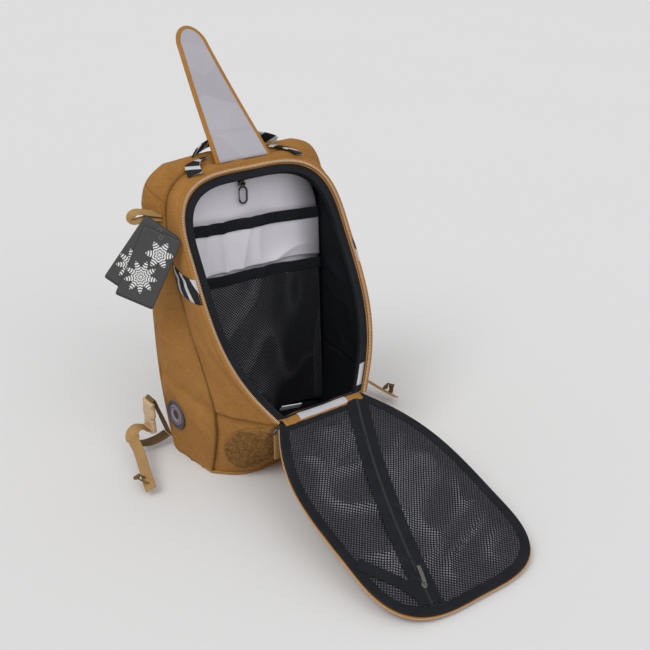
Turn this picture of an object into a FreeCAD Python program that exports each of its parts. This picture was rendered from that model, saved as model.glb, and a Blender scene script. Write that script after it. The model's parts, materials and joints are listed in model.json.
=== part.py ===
import FreeCAD, Part
import Sketcher
import math
import os

from FreeCAD import Placement, Rotation, Vector

# Clamshell day pack standing on its base, millimetres.
# Origin: centre of the base, on the ground.  +Z up, the opening faces -Y, +X is the viewer's right.
# The front opening is tilted back.  Its own frame ("opening frame") has x across, y up the opening
# and z outwards, with its origin at the middle of the hinge line.  The open lid uses the same frame
# turned about the hinge line, so the lid is drawn exactly as it lies when it is closed.

SIZES = {
    # body of the pack
    "pack_height": 494.0, "back_half_width": 158.0, "back_lean": 20.0, "base_back": 83.0,
    "base_half_width": 150.0, "base_front": 68.0, "base_front_half": 104.0, "base_seam_half": 142.0,
    "base_seam_front": 28.0, "hinge_front": 147.0, "hinge_height": 132.0, "seam_half_width": 150.0,
    "seam_front": 57.0, "shoulder_drop": 70.0, "shoulder_run": 86.0,
    "wall": 4.0, "back_wall": 10.0, "base_wall": 6.0,
    # opening and lid outline
    "opening_tilt": 29.0, "opening_length": 400.0, "opening_hinge_half": 81.0,
    "opening_half": 144.0, "opening_corner": 124.0, "zip_flange": 9.0,
    "lid_slope": 17.7, "lid_gap": 3.0, "lid_thick": 5.0, "lid_rim": 6.0, "lid_mesh_thick": 2.0,
    "binding_width": 20.0, "binding_thick": 1.5, "teeth_width": 4.6, "teeth_thick": 2.6,
    "pocket_zip_width": 26.0, "pocket_zip_radius": 1530.0, "pocket_zip_thick": 1.2,
    # tongue
    "tongue_length": 262.0, "tongue_root_half": 52.0, "tongue_tip_half": 27.0, "tongue_thick": 3.0,
    "tongue_offset": 8.0, "tongue_lean": 43.0, "tongue_pivot_up": 14.0, "tongue_pivot_out": 2.0,
    # webbing
    "webbing_thick": 2.0, "strap_webbing": 25.0, "handle_width": 25.0, "handle_span": 156.0,
    "handle_rise": 24.0, "handle_lean": 50.0, "lash_width": 38.0, "lash_thick": 2.5, "lash_height": 318.0,
    # inside
    "lining_thick": 1.5, "slip_pocket_top": 400.0, "mesh_pocket_top": 308.0, "pocket_thick": 3.0,
    "tape_width": 20.0,
    # outside details
    "port_radius": 26.0, "port_hole": 8.0, "port_thick": 3.0, "port_back": 57.0, "port_height": 77.0,
    "tag_turn": 36.0, "tag_lean": 25.0, "back_pad_height": 360.0,
    "patch_width": 84.0, "patch_height": 90.0, "patch_thick": 2.5,
    "patch_centre": 70.0, "patch_side": 70.0, "patch_front": 43.0, "patch_turn": 30.0,
    "tag_width": 62.0, "tag_length": 114.0, "tag_thick": 0.8,
    "pull_length": 44.0, "pull_width": 11.0, "pull_thick": 2.0,
    # carrying side
    "pad_thick": 9.0, "shoulder_width": 64.0, "shoulder_thick": 12.0, "shoulder_half_gap": 34.0,
    "buckle_length": 62.0, "buckle_width": 34.0, "buckle_thick": 11.0,
    "chest_height": 352.0, "clearance": 0.4,
}

doc = FreeCAD.newDocument("day_pack")
sheet = doc.addObject("Spreadsheet::Sheet", "Sizes")
for row, (alias, value) in enumerate(SIZES.items(), start=1):
    sheet.set("A%d" % row, alias)
    sheet.set("B%d" % row, str(value))
    sheet.setAlias("B%d" % row, alias)
doc.recompute()

parts = []
X_AXIS = Vector(1, 0, 0)
Z_AXIS = Vector(0, 0, 1)


def size(alias):
    """Value of one cell of the sheet."""
    return float(sheet.get(alias))


# ---------------------------------------------------------------- frames of reference

def opening_frame():
    """Frame of the closed opening: y up along it, z outwards."""
    origin = Vector(0, -size("hinge_front"), size("hinge_height"))
    return Placement(origin, Rotation(X_AXIS, 90 - size("opening_tilt")))


def lid_frame():
    """Frame of the open lid: the opening frame turned about the hinge line until the lid lies down."""
    origin = Vector(0, -size("hinge_front"), size("hinge_height"))
    return Placement(origin, Rotation(X_AXIS, 180 + size("lid_slope")))


def back_at(height):
    """Y of the pack's outer back face at a height."""
    return size("base_back") + size("back_lean") * height / size("pack_height")


def back_frame(inward):
    """Frame on the back: x across, y up the back, z into the pack, set inward from the outer face."""
    lean = math.degrees(math.atan2(size("back_lean"), size("pack_height")))
    place = Placement(Vector(0, size("base_back"), 0), Rotation(X_AXIS, 90 - lean))
    return place.multiply(Placement(Vector(0, 0, inward), Rotation()))


# ---------------------------------------------------------------- drawing helpers

def new_body(label, placement=None):
    body = doc.addObject("PartDesign::Body", label)
    body.Label = label
    body.Placement = placement or Placement()
    parts.append(body)
    return body


def new_sketch(body, role="XY_Plane", offset=0.0):
    plane = [f for f in body.Origin.OriginFeatures if f.Role == role][0]
    sketch = body.newObject("Sketcher::SketchObject", body.Label + "_sketch")
    sketch.AttachmentSupport = [(plane, "")]
    sketch.MapMode = "FlatFace"
    sketch.AttachmentOffset = Placement(Vector(0, 0, offset), Rotation())
    return sketch


def pad(body, sketch, thickness):
    """Pad a sketch by the sheet's value (alias) or by an expression of the sheet."""
    feature = body.newObject("PartDesign::Pad", body.Label + "_pad")
    feature.Profile = sketch
    feature.setExpression("Length", thickness)
    body.Tip = feature
    return feature


def cell(alias):
    return "Sizes." + alias


def draw_polygon(sketch, points):
    """Closed chain of straight edges; the corners are joined by constraints."""
    vectors = [Vector(p[0], p[1], 0) for p in points]
    count = len(vectors)
    for i, start in enumerate(vectors):
        sketch.addGeometry(Part.LineSegment(start, vectors[(i + 1) % count]), False)
    for i in range(count):
        sketch.addConstraint(Sketcher.Constraint("Coincident", i, 2, (i + 1) % count, 1))


def draw_box(sketch, width, height, low=0.0):
    """Rectangle centred on x, standing on y = low, with its sides bound to the sheet's expressions."""
    half, tall = 10.0, 10.0
    draw_polygon(sketch, [(-half, low), (half, low), (half, low + tall), (-half, low + tall)])
    for line, kind in ((1, "Vertical"), (2, "Horizontal"), (3, "Vertical")):
        sketch.addConstraint(Sketcher.Constraint(kind, line))
    sketch.addConstraint(Sketcher.Constraint("Symmetric", 0, 1, 0, 2, -2))
    for name, kind, value, expression in (("width", "DistanceX", 2 * half, width),
                                          ("height", "DistanceY", tall, height)):
        line = 0 if kind == "DistanceX" else 1
        index = sketch.addConstraint(Sketcher.Constraint(kind, line, 1, line, 2, value))
        sketch.renameConstraint(index, name)
        sketch.setExpression("Constraints." + name, expression)
    if abs(low) > 0:
        sketch.addConstraint(Sketcher.Constraint("DistanceY", -1, 1, 0, 1, low))
    else:
        sketch.addConstraint(Sketcher.Constraint("PointOnObject", 0, 1, -1))


def draw_circle(sketch, radius):
    """Circle about the sketch's origin, its radius bound to an expression of the sheet."""
    index = sketch.addGeometry(Part.Circle(Vector(), Vector(0, 0, 1), 10.0), False)
    sketch.addConstraint(Sketcher.Constraint("Coincident", index, 3, -1, 1))
    at = sketch.addConstraint(Sketcher.Constraint("Radius", index, 10.0))
    name = "radius%d" % index
    sketch.renameConstraint(at, name)
    sketch.setExpression("Constraints." + name, radius)


def spline(points):
    curve = Part.BSplineCurve()
    curve.interpolate([Vector(*p) for p in points])
    return curve


def box_plate(label, placement, width, height, thickness, low=0.0, offset=0.0):
    """Rectangular plate: one sketched box padded by its thickness."""
    body = new_body(label, placement)
    sketch = new_sketch(body, offset=offset)
    draw_box(sketch, width, height, low)
    pad(body, sketch, thickness)
    return body


def polygon_plate(label, placement, points, thickness, role="XY_Plane", offset=0.0):
    body = new_body(label, placement)
    sketch = new_sketch(body, role, offset)
    draw_polygon(sketch, points)
    pad(body, sketch, thickness)
    return body


def feature(label, shape, placement=None):
    """A sub-part whose shape Part's own functions make."""
    item = doc.addObject("Part::Feature", label)
    item.Label = label
    item.Shape = shape
    item.Placement = placement or shape.Placement
    parts.append(item)
    return item


# ---------------------------------------------------------------- outlines

def superellipse(run, drop, count, power):
    """Corner points from (run, 0) to (0, drop), both ends included."""
    points = []
    for i in range(count + 1):
        angle = math.pi / 2 * i / count
        points.append((run * math.cos(angle) ** (2 / power), drop * math.sin(angle) ** (2 / power)))
    return points


def opening_side(offset, low=0.0):
    """Right half of the opening outline, from a height above the hinge to the middle of the top."""
    half = size("opening_half") + offset
    hinge = size("opening_hinge_half") + offset
    corner = size("opening_corner") + offset
    widening = 0.5 * size("opening_length")
    straight = size("opening_length") + offset - corner
    side = []
    for share in (0.0, 0.2, 0.45, 0.7):
        up = low + share * (straight - low)
        narrow = max(0.0, 1 - up / widening) ** 2.2
        side.append((half - (half - hinge) * narrow, up))
    arc = [(half - corner + x, straight + y) for x, y in superellipse(corner, corner, 6, 3.1)]
    return side + arc[:-1] + [(0.0, size("opening_length") + offset)]


def opening_loop(offset):
    """Closed outline of the opening, grown by the offset, as a line and one spline over the top."""
    side = opening_side(offset)
    points = [(x, y, 0) for x, y in side] + [(-x, y, 0) for x, y in reversed(side[:-1])]
    return [spline(points), Part.LineSegment(Vector(*points[-1]), Vector(*points[0]))]


def opening_ring(label, placement, outer, inner, thickness, offset, low=0.0):
    """Band that follows the opening outline between two offsets; its lower end is open at the hinge."""
    body = new_body(label, placement)
    sketch = new_sketch(body, offset=offset)
    rims = []
    for grow in (outer, inner):
        side = opening_side(grow, low)
        rims.append([(x, y, 0) for x, y in side] + [(-x, y, 0) for x, y in reversed(side[:-1])])
    sketch.addGeometry([spline(rim) for rim in rims], False)
    for end in (0, -1):
        sketch.addGeometry(Part.LineSegment(Vector(*rims[0][end]), Vector(*rims[1][end])), False)
    pad(body, sketch, thickness)
    return body


# ---------------------------------------------------------------- shell of the pack

def arch(width_at_hinge, half, top, corner_run, corner_drop, power, low, count=5):
    """Arch from the hinge level over the top: list of (x, height) from right to left."""
    shoulder = top - corner_drop
    side = [(width_at_hinge, low), (half, low + 0.45 * (shoulder - low)), (half, shoulder)]
    arc = superellipse(corner_run, corner_drop, count, power)[1:]
    right = side + [(half - corner_run + x, shoulder + y) for x, y in arc]
    return right + [(-x, y) for x, y in reversed(right)]


def seam_at(height):
    """Y of the seam between the front gusset and the side panels at a height above the hinge."""
    low, middle, top = size("hinge_height"), 315.0, size("pack_height")
    if height <= middle:
        return -size("seam_front") + (height - low) * 88.0 / (middle - low)
    return 31.0 + (height - middle) * 50.0 / (top - middle)


def closed_arch(points):
    """Wire through arch points (one spline) closed by a straight line at hinge level."""
    line = Part.LineSegment(Vector(*points[-1]), Vector(*points[0]))
    return Part.Wire([spline(points).toShape(), line.toShape()])


def upper_solid(inset, rim, back_inset):
    """Body above the hinge level: opening outline, seam outline and back outline lofted together."""
    hinge = size("hinge_height")
    frame = opening_frame()
    front = []
    side = opening_side(rim)
    loop = [(x, y) for x, y in side] + [(-x, y) for x, y in reversed(side[:-1])]
    for x, up in loop:
        front.append(frame.multVec(Vector(x, up, 0)))
    top = size("pack_height") - 4 - inset
    half = size("seam_half_width") - inset
    seam = [Vector(x, seam_at(z), z) for x, z in arch(half - 2, half, top, 105, 105, 2.6, hinge)]
    half = size("back_half_width") - inset
    run, drop = size("shoulder_run"), size("shoulder_drop")
    top = size("pack_height") - inset
    back = []
    for x, z in arch(half - 2, half, top, run, drop, 2.3, hinge):
        back.append(Vector(x, back_at(z) - back_inset, z))
    wires = [closed_arch([tuple(p) for p in rim_points]) for rim_points in (front, seam, back)]
    return Part.makeLoft(wires, True, True)


def lower_solid(inset, floor, back_inset):
    """Body below the hinge level: base outline lofted to the outline at the hinge."""
    hinge = size("hinge_height")
    low = [(size("base_half_width") - inset, size("base_back") - back_inset),
           (size("base_seam_half") - inset, -size("base_seam_front") + inset / 2),
           (size("base_front_half") - inset, -size("base_front") + inset)]
    high = [(size("back_half_width") - 2 - inset, back_at(hinge) - back_inset),
            (size("seam_half_width") - 2 - inset, -size("seam_front") + inset / 2),
            (size("opening_hinge_half") + size("zip_flange") - 1.6 * inset, -size("hinge_front") + 1.4 * inset)]
    wires = []
    for z, ring in ((floor, low), (hinge, high)):
        loop = [Vector(x, y, z) for x, y in ring] + [Vector(-x, y, z) for x, y in reversed(ring)]
        wires.append(Part.makePolygon(loop + [loop[0]]))
    return Part.makeLoft(wires, True, True)


def prism_across(profile):
    """Prism across the whole width, from a profile of (y, z) points."""
    reach = 400.0
    loop = [Vector(-reach, y, z) for y, z in profile]
    return Part.Face(Part.makePolygon(loop + [loop[0]])).extrude(Vector(2 * reach, 0, 0))


def make_shell():
    """Hollow fabric body, cut along its seams into panels."""
    wall, floor = size("wall"), size("base_wall")
    hinge, top = size("hinge_height"), size("pack_height")
    far = 700.0
    outside = upper_solid(0, size("zip_flange"), 0).fuse(lower_solid(0, 0, 0))
    inside = upper_solid(wall, 0, size("back_wall"))
    inside = inside.fuse(lower_solid(wall, floor, size("back_wall")))
    shell = outside.cut(inside)
    above = Part.makeBox(2 * far, 2 * far, far, Vector(-far, -far, floor))
    base = shell.cut(above)
    rest = shell.common(above)
    inner_back = back_at(0) - size("back_wall")
    inner_top = back_at(top) - size("back_wall")
    behind = prism_across([(inner_back, 0), (inner_top, top), (far, top), (far, 0)])
    back = rest.common(behind)
    rest = rest.cut(behind)
    gusset_zone = prism_across([(seam_at(hinge), hinge), (seam_at(315.0), 315.0), (seam_at(top), top),
                                (seam_at(top), far), (-far, far), (-far, hinge)])
    gusset = rest.common(gusset_zone)
    rest = rest.cut(gusset_zone)
    lower_zone = prism_across([(-size("base_seam_front"), 0), (-size("seam_front"), hinge),
                               (-far, hinge), (-far, 0)])
    lower = rest.common(lower_zone)
    rest = rest.cut(lower_zone)
    half = size("back_half_width") - size("shoulder_run") + 20
    middle = Part.makeBox(2 * half, 2 * far, far, Vector(-half, -far, hinge))
    crown = rest.common(middle)
    rest = rest.cut(middle)
    left = rest.common(Part.makeBox(far, 2 * far, 2 * far, Vector(-far, -far, -far)))
    right = rest.cut(Part.makeBox(far, 2 * far, 2 * far, Vector(-far, -far, -far)))
    hole = Part.makeCylinder(size("port_hole") + 4, 30, Vector(0, 0, -20))
    hole.Placement = port_frame()
    left = left.cut(hole)
    for label, shape in (("base_panel", base), ("back_panel", back), ("front_gusset", gusset),
                         ("lower_front_panel", lower), ("top_panel", crown),
                         ("side_panel_left", left), ("side_panel_right", right)):
        feature(label, largest(shape))


def largest(shape):
    """The biggest solid of a boolean's result."""
    return max(shape.Solids, key=lambda solid: solid.Volume)


# ---------------------------------------------------------------- opening and lid

def make_opening():
    flange = size("zip_flange")
    opening_ring("opening_zip_teeth", opening_frame(), flange - 0.5, flange - 0.5 - size("teeth_width"),
                 cell("teeth_thick"), 0.0)
    opening_ring("opening_binding", opening_frame(), -1.6, -1.6 - size("binding_thick"),
                 cell("binding_width"), -1.0 - size("binding_width"), low=16.0)
    frame = Placement(Vector(0, -size("hinge_front") + 8, size("hinge_height")), Rotation())
    box_plate("hinge_strip", frame, cell("opening_hinge_half * 2 - 12"), "14", "1")
    frame = Placement(Vector(0, -size("hinge_front") + 9, size("hinge_height") + 1), Rotation())
    box_plate("hinge_label", frame, "92", "12", "0.6")


def make_lid():
    gap, thick = size("lid_gap"), size("lid_thick")
    body = new_body("lid_panel", lid_frame())
    sketch = new_sketch(body, offset=gap)
    sketch.addGeometry(opening_loop(size("lid_rim")), False)
    pad(body, sketch, cell("lid_thick"))
    opening_ring("lid_zip_teeth", lid_frame(), size("teeth_width") - 2, -2, "%g" % (gap - 0.4), 0.4,
                 low=12.0)
    opening_ring("lid_binding", lid_frame(), -2.4, -2.4 - size("binding_width"), cell("binding_thick"),
                 gap - size("binding_thick"))
    body = new_body("lid_mesh", lid_frame())
    sketch = new_sketch(body, offset=gap - size("lid_mesh_thick"))
    sketch.addGeometry(opening_loop(-2.6 - size("binding_width")), False)
    pad(body, sketch, cell("lid_mesh_thick"))


def pocket_zip_centre():
    """Centre of the lid pocket zip's arc, in the lid frame."""
    start, end = Vector(58, 26, 0), Vector(-74, 366, 0)
    middle, chord = (start + end) * 0.5, end - start
    across = Vector(chord.y, -chord.x, 0).normalize()
    radius = size("pocket_zip_radius")
    reach = math.sqrt(radius ** 2 - (chord.Length / 2) ** 2)
    return middle + across * reach, start, end


def arc_band(centre, start, end, width):
    """Flat band of a given width along the arc from start to end about a centre."""
    edges = []
    rims = []
    middle = (start + end) * 0.5 - centre
    for shift in (-width / 2, width / 2):
        points = []
        for ray in (start - centre, middle, end - centre):
            unit = Vector(ray).normalize()
            points.append(centre + unit * (size("pocket_zip_radius") + shift))
        rims.append(points)
        edges.append(Part.Arc(*points))
    edges.append(Part.LineSegment(rims[0][0], rims[1][0]))
    edges.append(Part.LineSegment(rims[0][2], rims[1][2]))
    return edges


def make_lid_pocket_zip():
    centre, start, end = pocket_zip_centre()
    body = new_body("lid_pocket_zip", lid_frame())
    sketch = new_sketch(body, offset=size("lid_gap") - size("lid_mesh_thick") - size("pocket_zip_thick"))
    sketch.addGeometry(arc_band(centre, start, end, size("pocket_zip_width")), False)
    pad(body, sketch, cell("pocket_zip_thick"))
    along = (start - end).normalize()
    at = end + along * 18
    turn = math.degrees(math.atan2(along.y, along.x)) - 90
    top = size("lid_gap") - size("lid_mesh_thick") - size("pocket_zip_thick") - 0.3
    frame = lid_frame().multiply(Placement(Vector(at.x, at.y, top), Rotation(Vector(0, 0, 1), turn)))
    frame = frame.multiply(Placement(Vector(), Rotation(X_AXIS, 180)))
    polygon_plate("lid_pocket_slider", frame, slider_outline(), "3.2")
    pull = frame.multiply(Placement(Vector(0, -4, 3.6), Rotation()))
    tab = [(-3, 0), (3, 0), (4, 26), (2.5, 29), (-2.5, 29), (-4, 26)]
    polygon_plate("lid_pocket_pull", pull, tab, "1.6")


def slider_outline():
    """Coil zip slider seen from above: two shoulders and a narrow tail."""
    return [(-3.4, -6), (3.4, -6), (4.4, 0), (4.8, 5), (1.6, 7), (-1.6, 7), (-4.8, 5), (-4.4, 0)]


def make_main_sliders():
    """Sliders parked at the hinge corners, their fabric pulls hanging."""
    for side, name in ((-1, "left"), (1, "right")):
        x = side * (size("opening_hinge_half") + 3)
        panel = math.hypot(size("hinge_height"), size("hinge_front") - size("base_front"))
        frame = lower_front_frame(panel - 20).multiply(Placement(Vector(x, 0, 0), Rotation()))
        polygon_plate("main_slider_" + name, frame, slider_outline(), "4")
        eye = frame.multVec(Vector(0, -5, 5.2))
        hang = Placement(eye, Rotation(X_AXIS, 90))
        half = size("pull_width") / 2
        length = size("pull_length")
        outline = [(-2.5, 0), (2.5, 0), (half, -10), (half, -length), (-half, -length), (-half, -10)]
        polygon_plate("pull_tab_" + name, hang, outline, cell("pull_thick"))


# ---------------------------------------------------------------- inside

def make_inside():
    back = size("back_wall")
    inner = "(Sizes.back_half_width - Sizes.wall) * 2 - 22"
    gap = size("clearance")
    depth = back + gap
    run, drop = size("shoulder_run") - 4, size("shoulder_drop") - 2
    top = size("pack_height") - 14
    half = size("back_half_width") - size("wall") - 11
    outline = [(-half, 12), (half, 12), (half, top - drop), (half - run * 0.35, top - drop * 0.22),
               (half - run, top), (run - half, top), (run * 0.35 - half, top - drop * 0.22),
               (-half, top - drop)]
    polygon_plate("back_lining", back_frame(depth), outline, cell("lining_thick"))
    depth += gap + size("lining_thick")
    mesh_top, slip_top = size("mesh_pocket_top"), size("slip_pocket_top")
    tape = size("tape_width")
    box_plate("slip_pocket", back_frame(depth), inner, "Sizes.slip_pocket_top - Sizes.mesh_pocket_top - 20",
              cell("pocket_thick"), low=mesh_top)
    box_plate("slip_pocket_binding", back_frame(depth), inner, cell("tape_width"), cell("pocket_thick"),
              low=slip_top - tape)
    box_plate("mesh_pocket", back_frame(depth), inner, "Sizes.mesh_pocket_top - 34", cell("pocket_thick"),
              low=14)
    box_plate("mesh_pocket_binding", back_frame(depth), inner, cell("tape_width"), cell("pocket_thick"),
              low=mesh_top - tape)


def make_key_clip():
    depth = size("back_wall") + size("clearance") * 2 + size("lining_thick")
    frame = back_frame(depth).multiply(Placement(Vector(5, 0, 0), Rotation()))
    box_plate("key_tape", frame, "12", "26", "2", low=446)
    hook = back_frame(depth + 2.4).multiply(Placement(Vector(5, 432, 0), Rotation()))
    outer = [(-9, -16), (-3, -20), (5, -19), (9, -13), (9, 4), (5, 10), (-5, 10), (-9, 5)]
    inner = [(-5.4, -13), (-2, -16), (3.4, -15), (5.4, -11), (5.4, 2), (3, 6), (-3, 6), (-5.4, 3)]
    body = new_body("key_clip", hook)
    sketch = new_sketch(body)
    draw_polygon(sketch, outer)
    pad(body, sketch, "3.4")
    cut = new_sketch(body, offset=0)
    draw_polygon(cut, inner)
    pocket = body.newObject("PartDesign::Pocket", "key_clip_eye")
    pocket.Profile = cut
    pocket.Type = 1
    pocket.Midplane = True
    body.Tip = pocket
    mouth = new_sketch(body)
    draw_polygon(mouth, [(-12, -11), (-4, -11), (-4, 3), (-12, 3)])
    gate_gap = body.newObject("PartDesign::Pocket", "key_clip_mouth")
    gate_gap.Profile = mouth
    gate_gap.Type = 1
    gate_gap.Midplane = True
    body.Tip = gate_gap
    polygon_plate("key_clip_gate", hook.multiply(Placement(Vector(0, 0, 0.5), Rotation())),
                  [(-8.4, -10), (-6, -10), (-6, 2.4), (-8.4, 2.4)], "2.4")


# ---------------------------------------------------------------- outside details

def side_surface(y, z):
    """X of the left outer side at (y, z), for pieces that lie on it."""
    hinge = size("hinge_height")
    share = z / hinge
    back = size("base_half_width") + (size("back_half_width") - 2 - size("base_half_width")) * share
    seam = size("base_seam_half") + (size("seam_half_width") - 2 - size("base_seam_half")) * share
    y_back = back_at(z)
    y_seam = -size("base_seam_front") - (size("seam_front") - size("base_seam_front")) * share
    return -(seam + (back - seam) * (y - y_seam) / (y_back - y_seam))


def port_frame():
    """Frame of the cable port on the left side, low down: z points out of the pack."""
    y, z = size("port_back"), size("port_height")
    x = side_surface(y, z) - 1.6
    across = (side_surface(y + 20, z) - side_surface(y - 20, z)) / 40
    turn = Rotation(Vector(0, 0, 1), -math.degrees(math.atan(across)))
    return Placement(Vector(x, y, z), turn.multiply(Rotation(Vector(0, 1, 0), -90)))


def make_port():
    """Round moulded cable port."""
    frame = port_frame()
    for label, outer, inner, low, thick in (
            ("port_ring", "Sizes.port_radius", "Sizes.port_radius - 7", 0.0, "Sizes.port_thick"),
            ("port_face", "Sizes.port_radius - 7.4", "Sizes.port_hole", 0.0, "Sizes.port_thick - 1")):
        body = new_body(label, frame)
        sketch = new_sketch(body, offset=low)
        draw_circle(sketch, outer)
        draw_circle(sketch, inner)
        pad(body, sketch, thick)


def lower_front_frame(up):
    """Frame on the lower front panel: x across, y up the panel, z outwards."""
    rise = size("hinge_height")
    run = size("hinge_front") - size("base_front")
    angle = math.degrees(math.atan2(rise, -run))
    place = Placement(Vector(0, -size("base_front"), 0), Rotation(X_AXIS, angle))
    return place.multiply(Placement(Vector(0, up, size("clearance")), Rotation()))


def make_patch():
    """Oval loop patch sewn round the left corner of the lower front panel."""
    gap, thick = size("clearance"), size("patch_thick")
    skin = lower_solid(-gap - thick, 0, 0).cut(lower_solid(-gap, 0, 0))
    oval = Part.Ellipse(Vector(), size("patch_height") / 2, size("patch_width") / 2).toShape()
    cutter = Part.Face(Part.Wire(oval)).extrude(Vector(0, 0, 2 * size("patch_width")))
    face_front_left = Rotation(Z_AXIS, -size("patch_turn")).multiply(Rotation(X_AXIS, 90))
    upright = Rotation(Z_AXIS, 90)
    inside_corner = Vector(-size("patch_side"), -size("patch_front"), size("patch_centre"))
    cutter.Placement = Placement(inside_corner, face_front_left.multiply(upright))
    feature("loop_patch", largest(skin.common(cutter)))


def make_lash_loops():
    """Striped lash webbing across the front gusset, one window each side."""
    tilt = math.radians(size("opening_tilt"))
    low = size("lash_height")
    profile = []
    high = low + size("lash_width")
    for z, towards_seam in ((low, 0), (low, 1), (high, 1), (high, 0)):
        edge = -size("hinge_front") + (z - size("hinge_height")) * math.tan(tilt) + 5
        profile.append((seam_at(z) - 4 if towards_seam else edge, z))
    outside = size("opening_half") + size("zip_flange") + size("clearance")
    for x, name in ((-outside - size("lash_thick"), "left"), (outside, "right")):
        polygon_plate("lash_webbing_" + name, Placement(), profile, cell("lash_thick"), "YZ_Plane", x)


# ---------------------------------------------------------------- tongue, handle, tags

def tongue_frame():
    """Tongue frame at its pivot: y along the tongue, z from the pivot towards its back."""
    pivot = tongue_pivot()
    return Placement(pivot, Rotation(X_AXIS, 90 - size("tongue_lean")))


def tongue_pivot():
    up = size("opening_length") + size("tongue_pivot_up")
    return opening_frame().multVec(Vector(0, up, size("tongue_pivot_out")))


def tongue_outline(inset, start):
    root, tip = size("tongue_root_half") - inset, size("tongue_tip_half") - inset
    length = size("tongue_length") - inset
    edges = []
    shoulder = length - tip
    right, left = Vector(tip, shoulder, 0), Vector(-tip, shoulder, 0)
    edges.append(Part.LineSegment(Vector(-root, start, 0), Vector(root, start, 0)))
    edges.append(Part.LineSegment(Vector(root, start, 0), right))
    edges.append(Part.Arc(right, Vector(0, length, 0), left))
    edges.append(Part.LineSegment(left, Vector(-root, start, 0)))
    return edges


def make_tongue():
    away = -size("tongue_offset") - size("tongue_thick")
    body = new_body("tongue_panel", tongue_frame())
    sketch = new_sketch(body, offset=away)
    sketch.addGeometry(tongue_outline(0, 8), False)
    pad(body, sketch, cell("tongue_thick"))
    body = new_body("tongue_lining", tongue_frame())
    sketch = new_sketch(body, offset=away + size("tongue_thick"))
    sketch.addGeometry(tongue_outline(6, 12), False)
    pad(body, sketch, "0.8")


def make_handle():
    """Grab handle: an arch of webbing leaning back behind the tongue."""
    half, rise = size("handle_span") / 2, size("handle_rise")
    thick = size("webbing_thick")
    back = 91.0
    frame = Placement(Vector(0, back, size("pack_height") + 10.5), Rotation(X_AXIS, 90 - size("handle_lean")))
    body = new_body("grab_handle", frame)
    sketch = new_sketch(body, offset=-size("handle_width") / 2)
    for shift in (0.0, thick):
        ends = half + shift
        sketch.addGeometry(Part.Arc(Vector(-ends, 0, 0), Vector(0, rise + shift, 0), Vector(ends, 0, 0)), False)
    for side in (-1, 1):
        line = Part.LineSegment(Vector(side * half, 0, 0), Vector(side * (half + thick), 0, 0))
        sketch.addGeometry(line, False)
    pad(body, sketch, cell("handle_width"))


def tag_frame(corner, tilt):
    """Frame of a hang tag seen square on from the front left: y up the card, z to the front."""
    turn = Rotation(Z_AXIS, -size("tag_turn")).multiply(Rotation(X_AXIS, 90 - size("tag_lean")))
    turn = turn.multiply(Rotation(Z_AXIS, tilt))
    return Placement(corner, turn)


def make_tags():
    for name, corner, tilt in (("front", Vector(-180.0, 20.0, 412.0), -23.0),
                               ("rear", Vector(-177.5, 27.0, 421.0), -34.0)):
        frame = tag_frame(corner, tilt)
        body = new_body("hang_tag_" + name, frame)
        sketch = new_sketch(body)
        half = size("tag_width") / 2
        top = 8.0
        length = size("tag_length")
        draw_polygon(sketch, [(-half, top - length), (half, top - length), (half, top), (-half, top)])
        draw_circle(sketch, "3")
        pad(body, sketch, cell("tag_thick"))


# ---------------------------------------------------------------- carrying side

def make_carrying_side():
    gap = size("clearance")
    box_plate("back_pad", back_frame(-gap - size("pad_thick")), "(Sizes.back_half_width - 26) * 2",
              cell("back_pad_height"), cell("pad_thick"), low=60)
    frame = back_frame(-size("pad_thick") - size("shoulder_thick") - 2 * gap)
    inner, width = size("shoulder_half_gap"), size("shoulder_width")
    for side, name in ((-1, "left"), (1, "right")):
        outer_rim = [(inner + width, 462, 0), (inner + width + 10, 380, 0), (inner + width + 16, 270, 0),
                     (inner + width + 26, 168, 0)]
        inner_rim = [(inner + 58, 168, 0), (inner + 30, 270, 0), (inner + 8, 380, 0), (inner, 462, 0)]
        body = new_body("shoulder_strap_" + name, frame)
        sketch = new_sketch(body)
        rims = []
        for rim in (outer_rim, inner_rim):
            rims.append([(side * x, y, z) for x, y, z in rim])
            sketch.addGeometry(spline(rims[-1]), False)
        sketch.addGeometry(Part.LineSegment(Vector(*rims[0][-1]), Vector(*rims[1][0])), False)
        sketch.addGeometry(Part.LineSegment(Vector(*rims[1][-1]), Vector(*rims[0][0])), False)
        pad(body, sketch, cell("shoulder_thick"))


def ribbon(points, width, thick):
    """Flat webbing: a strip of given width (along the run's own z) swept through (x, y) points."""
    faces = []
    for shift in (-thick / 2, thick / 2):
        faces.append([])
        for i, point in enumerate(points):
            before = points[max(0, i - 1)]
            after = points[min(len(points) - 1, i + 1)]
            along = (Vector(*after) - Vector(*before)).normalize()
            normal = Vector(-along.y, along.x, 0)
            faces[-1].append(Vector(*point) + normal * shift)
    loop = faces[0] + list(reversed(faces[1]))
    return Part.Face(Part.makePolygon(loop + [loop[0]])).extrude(Vector(0, 0, width))


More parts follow.
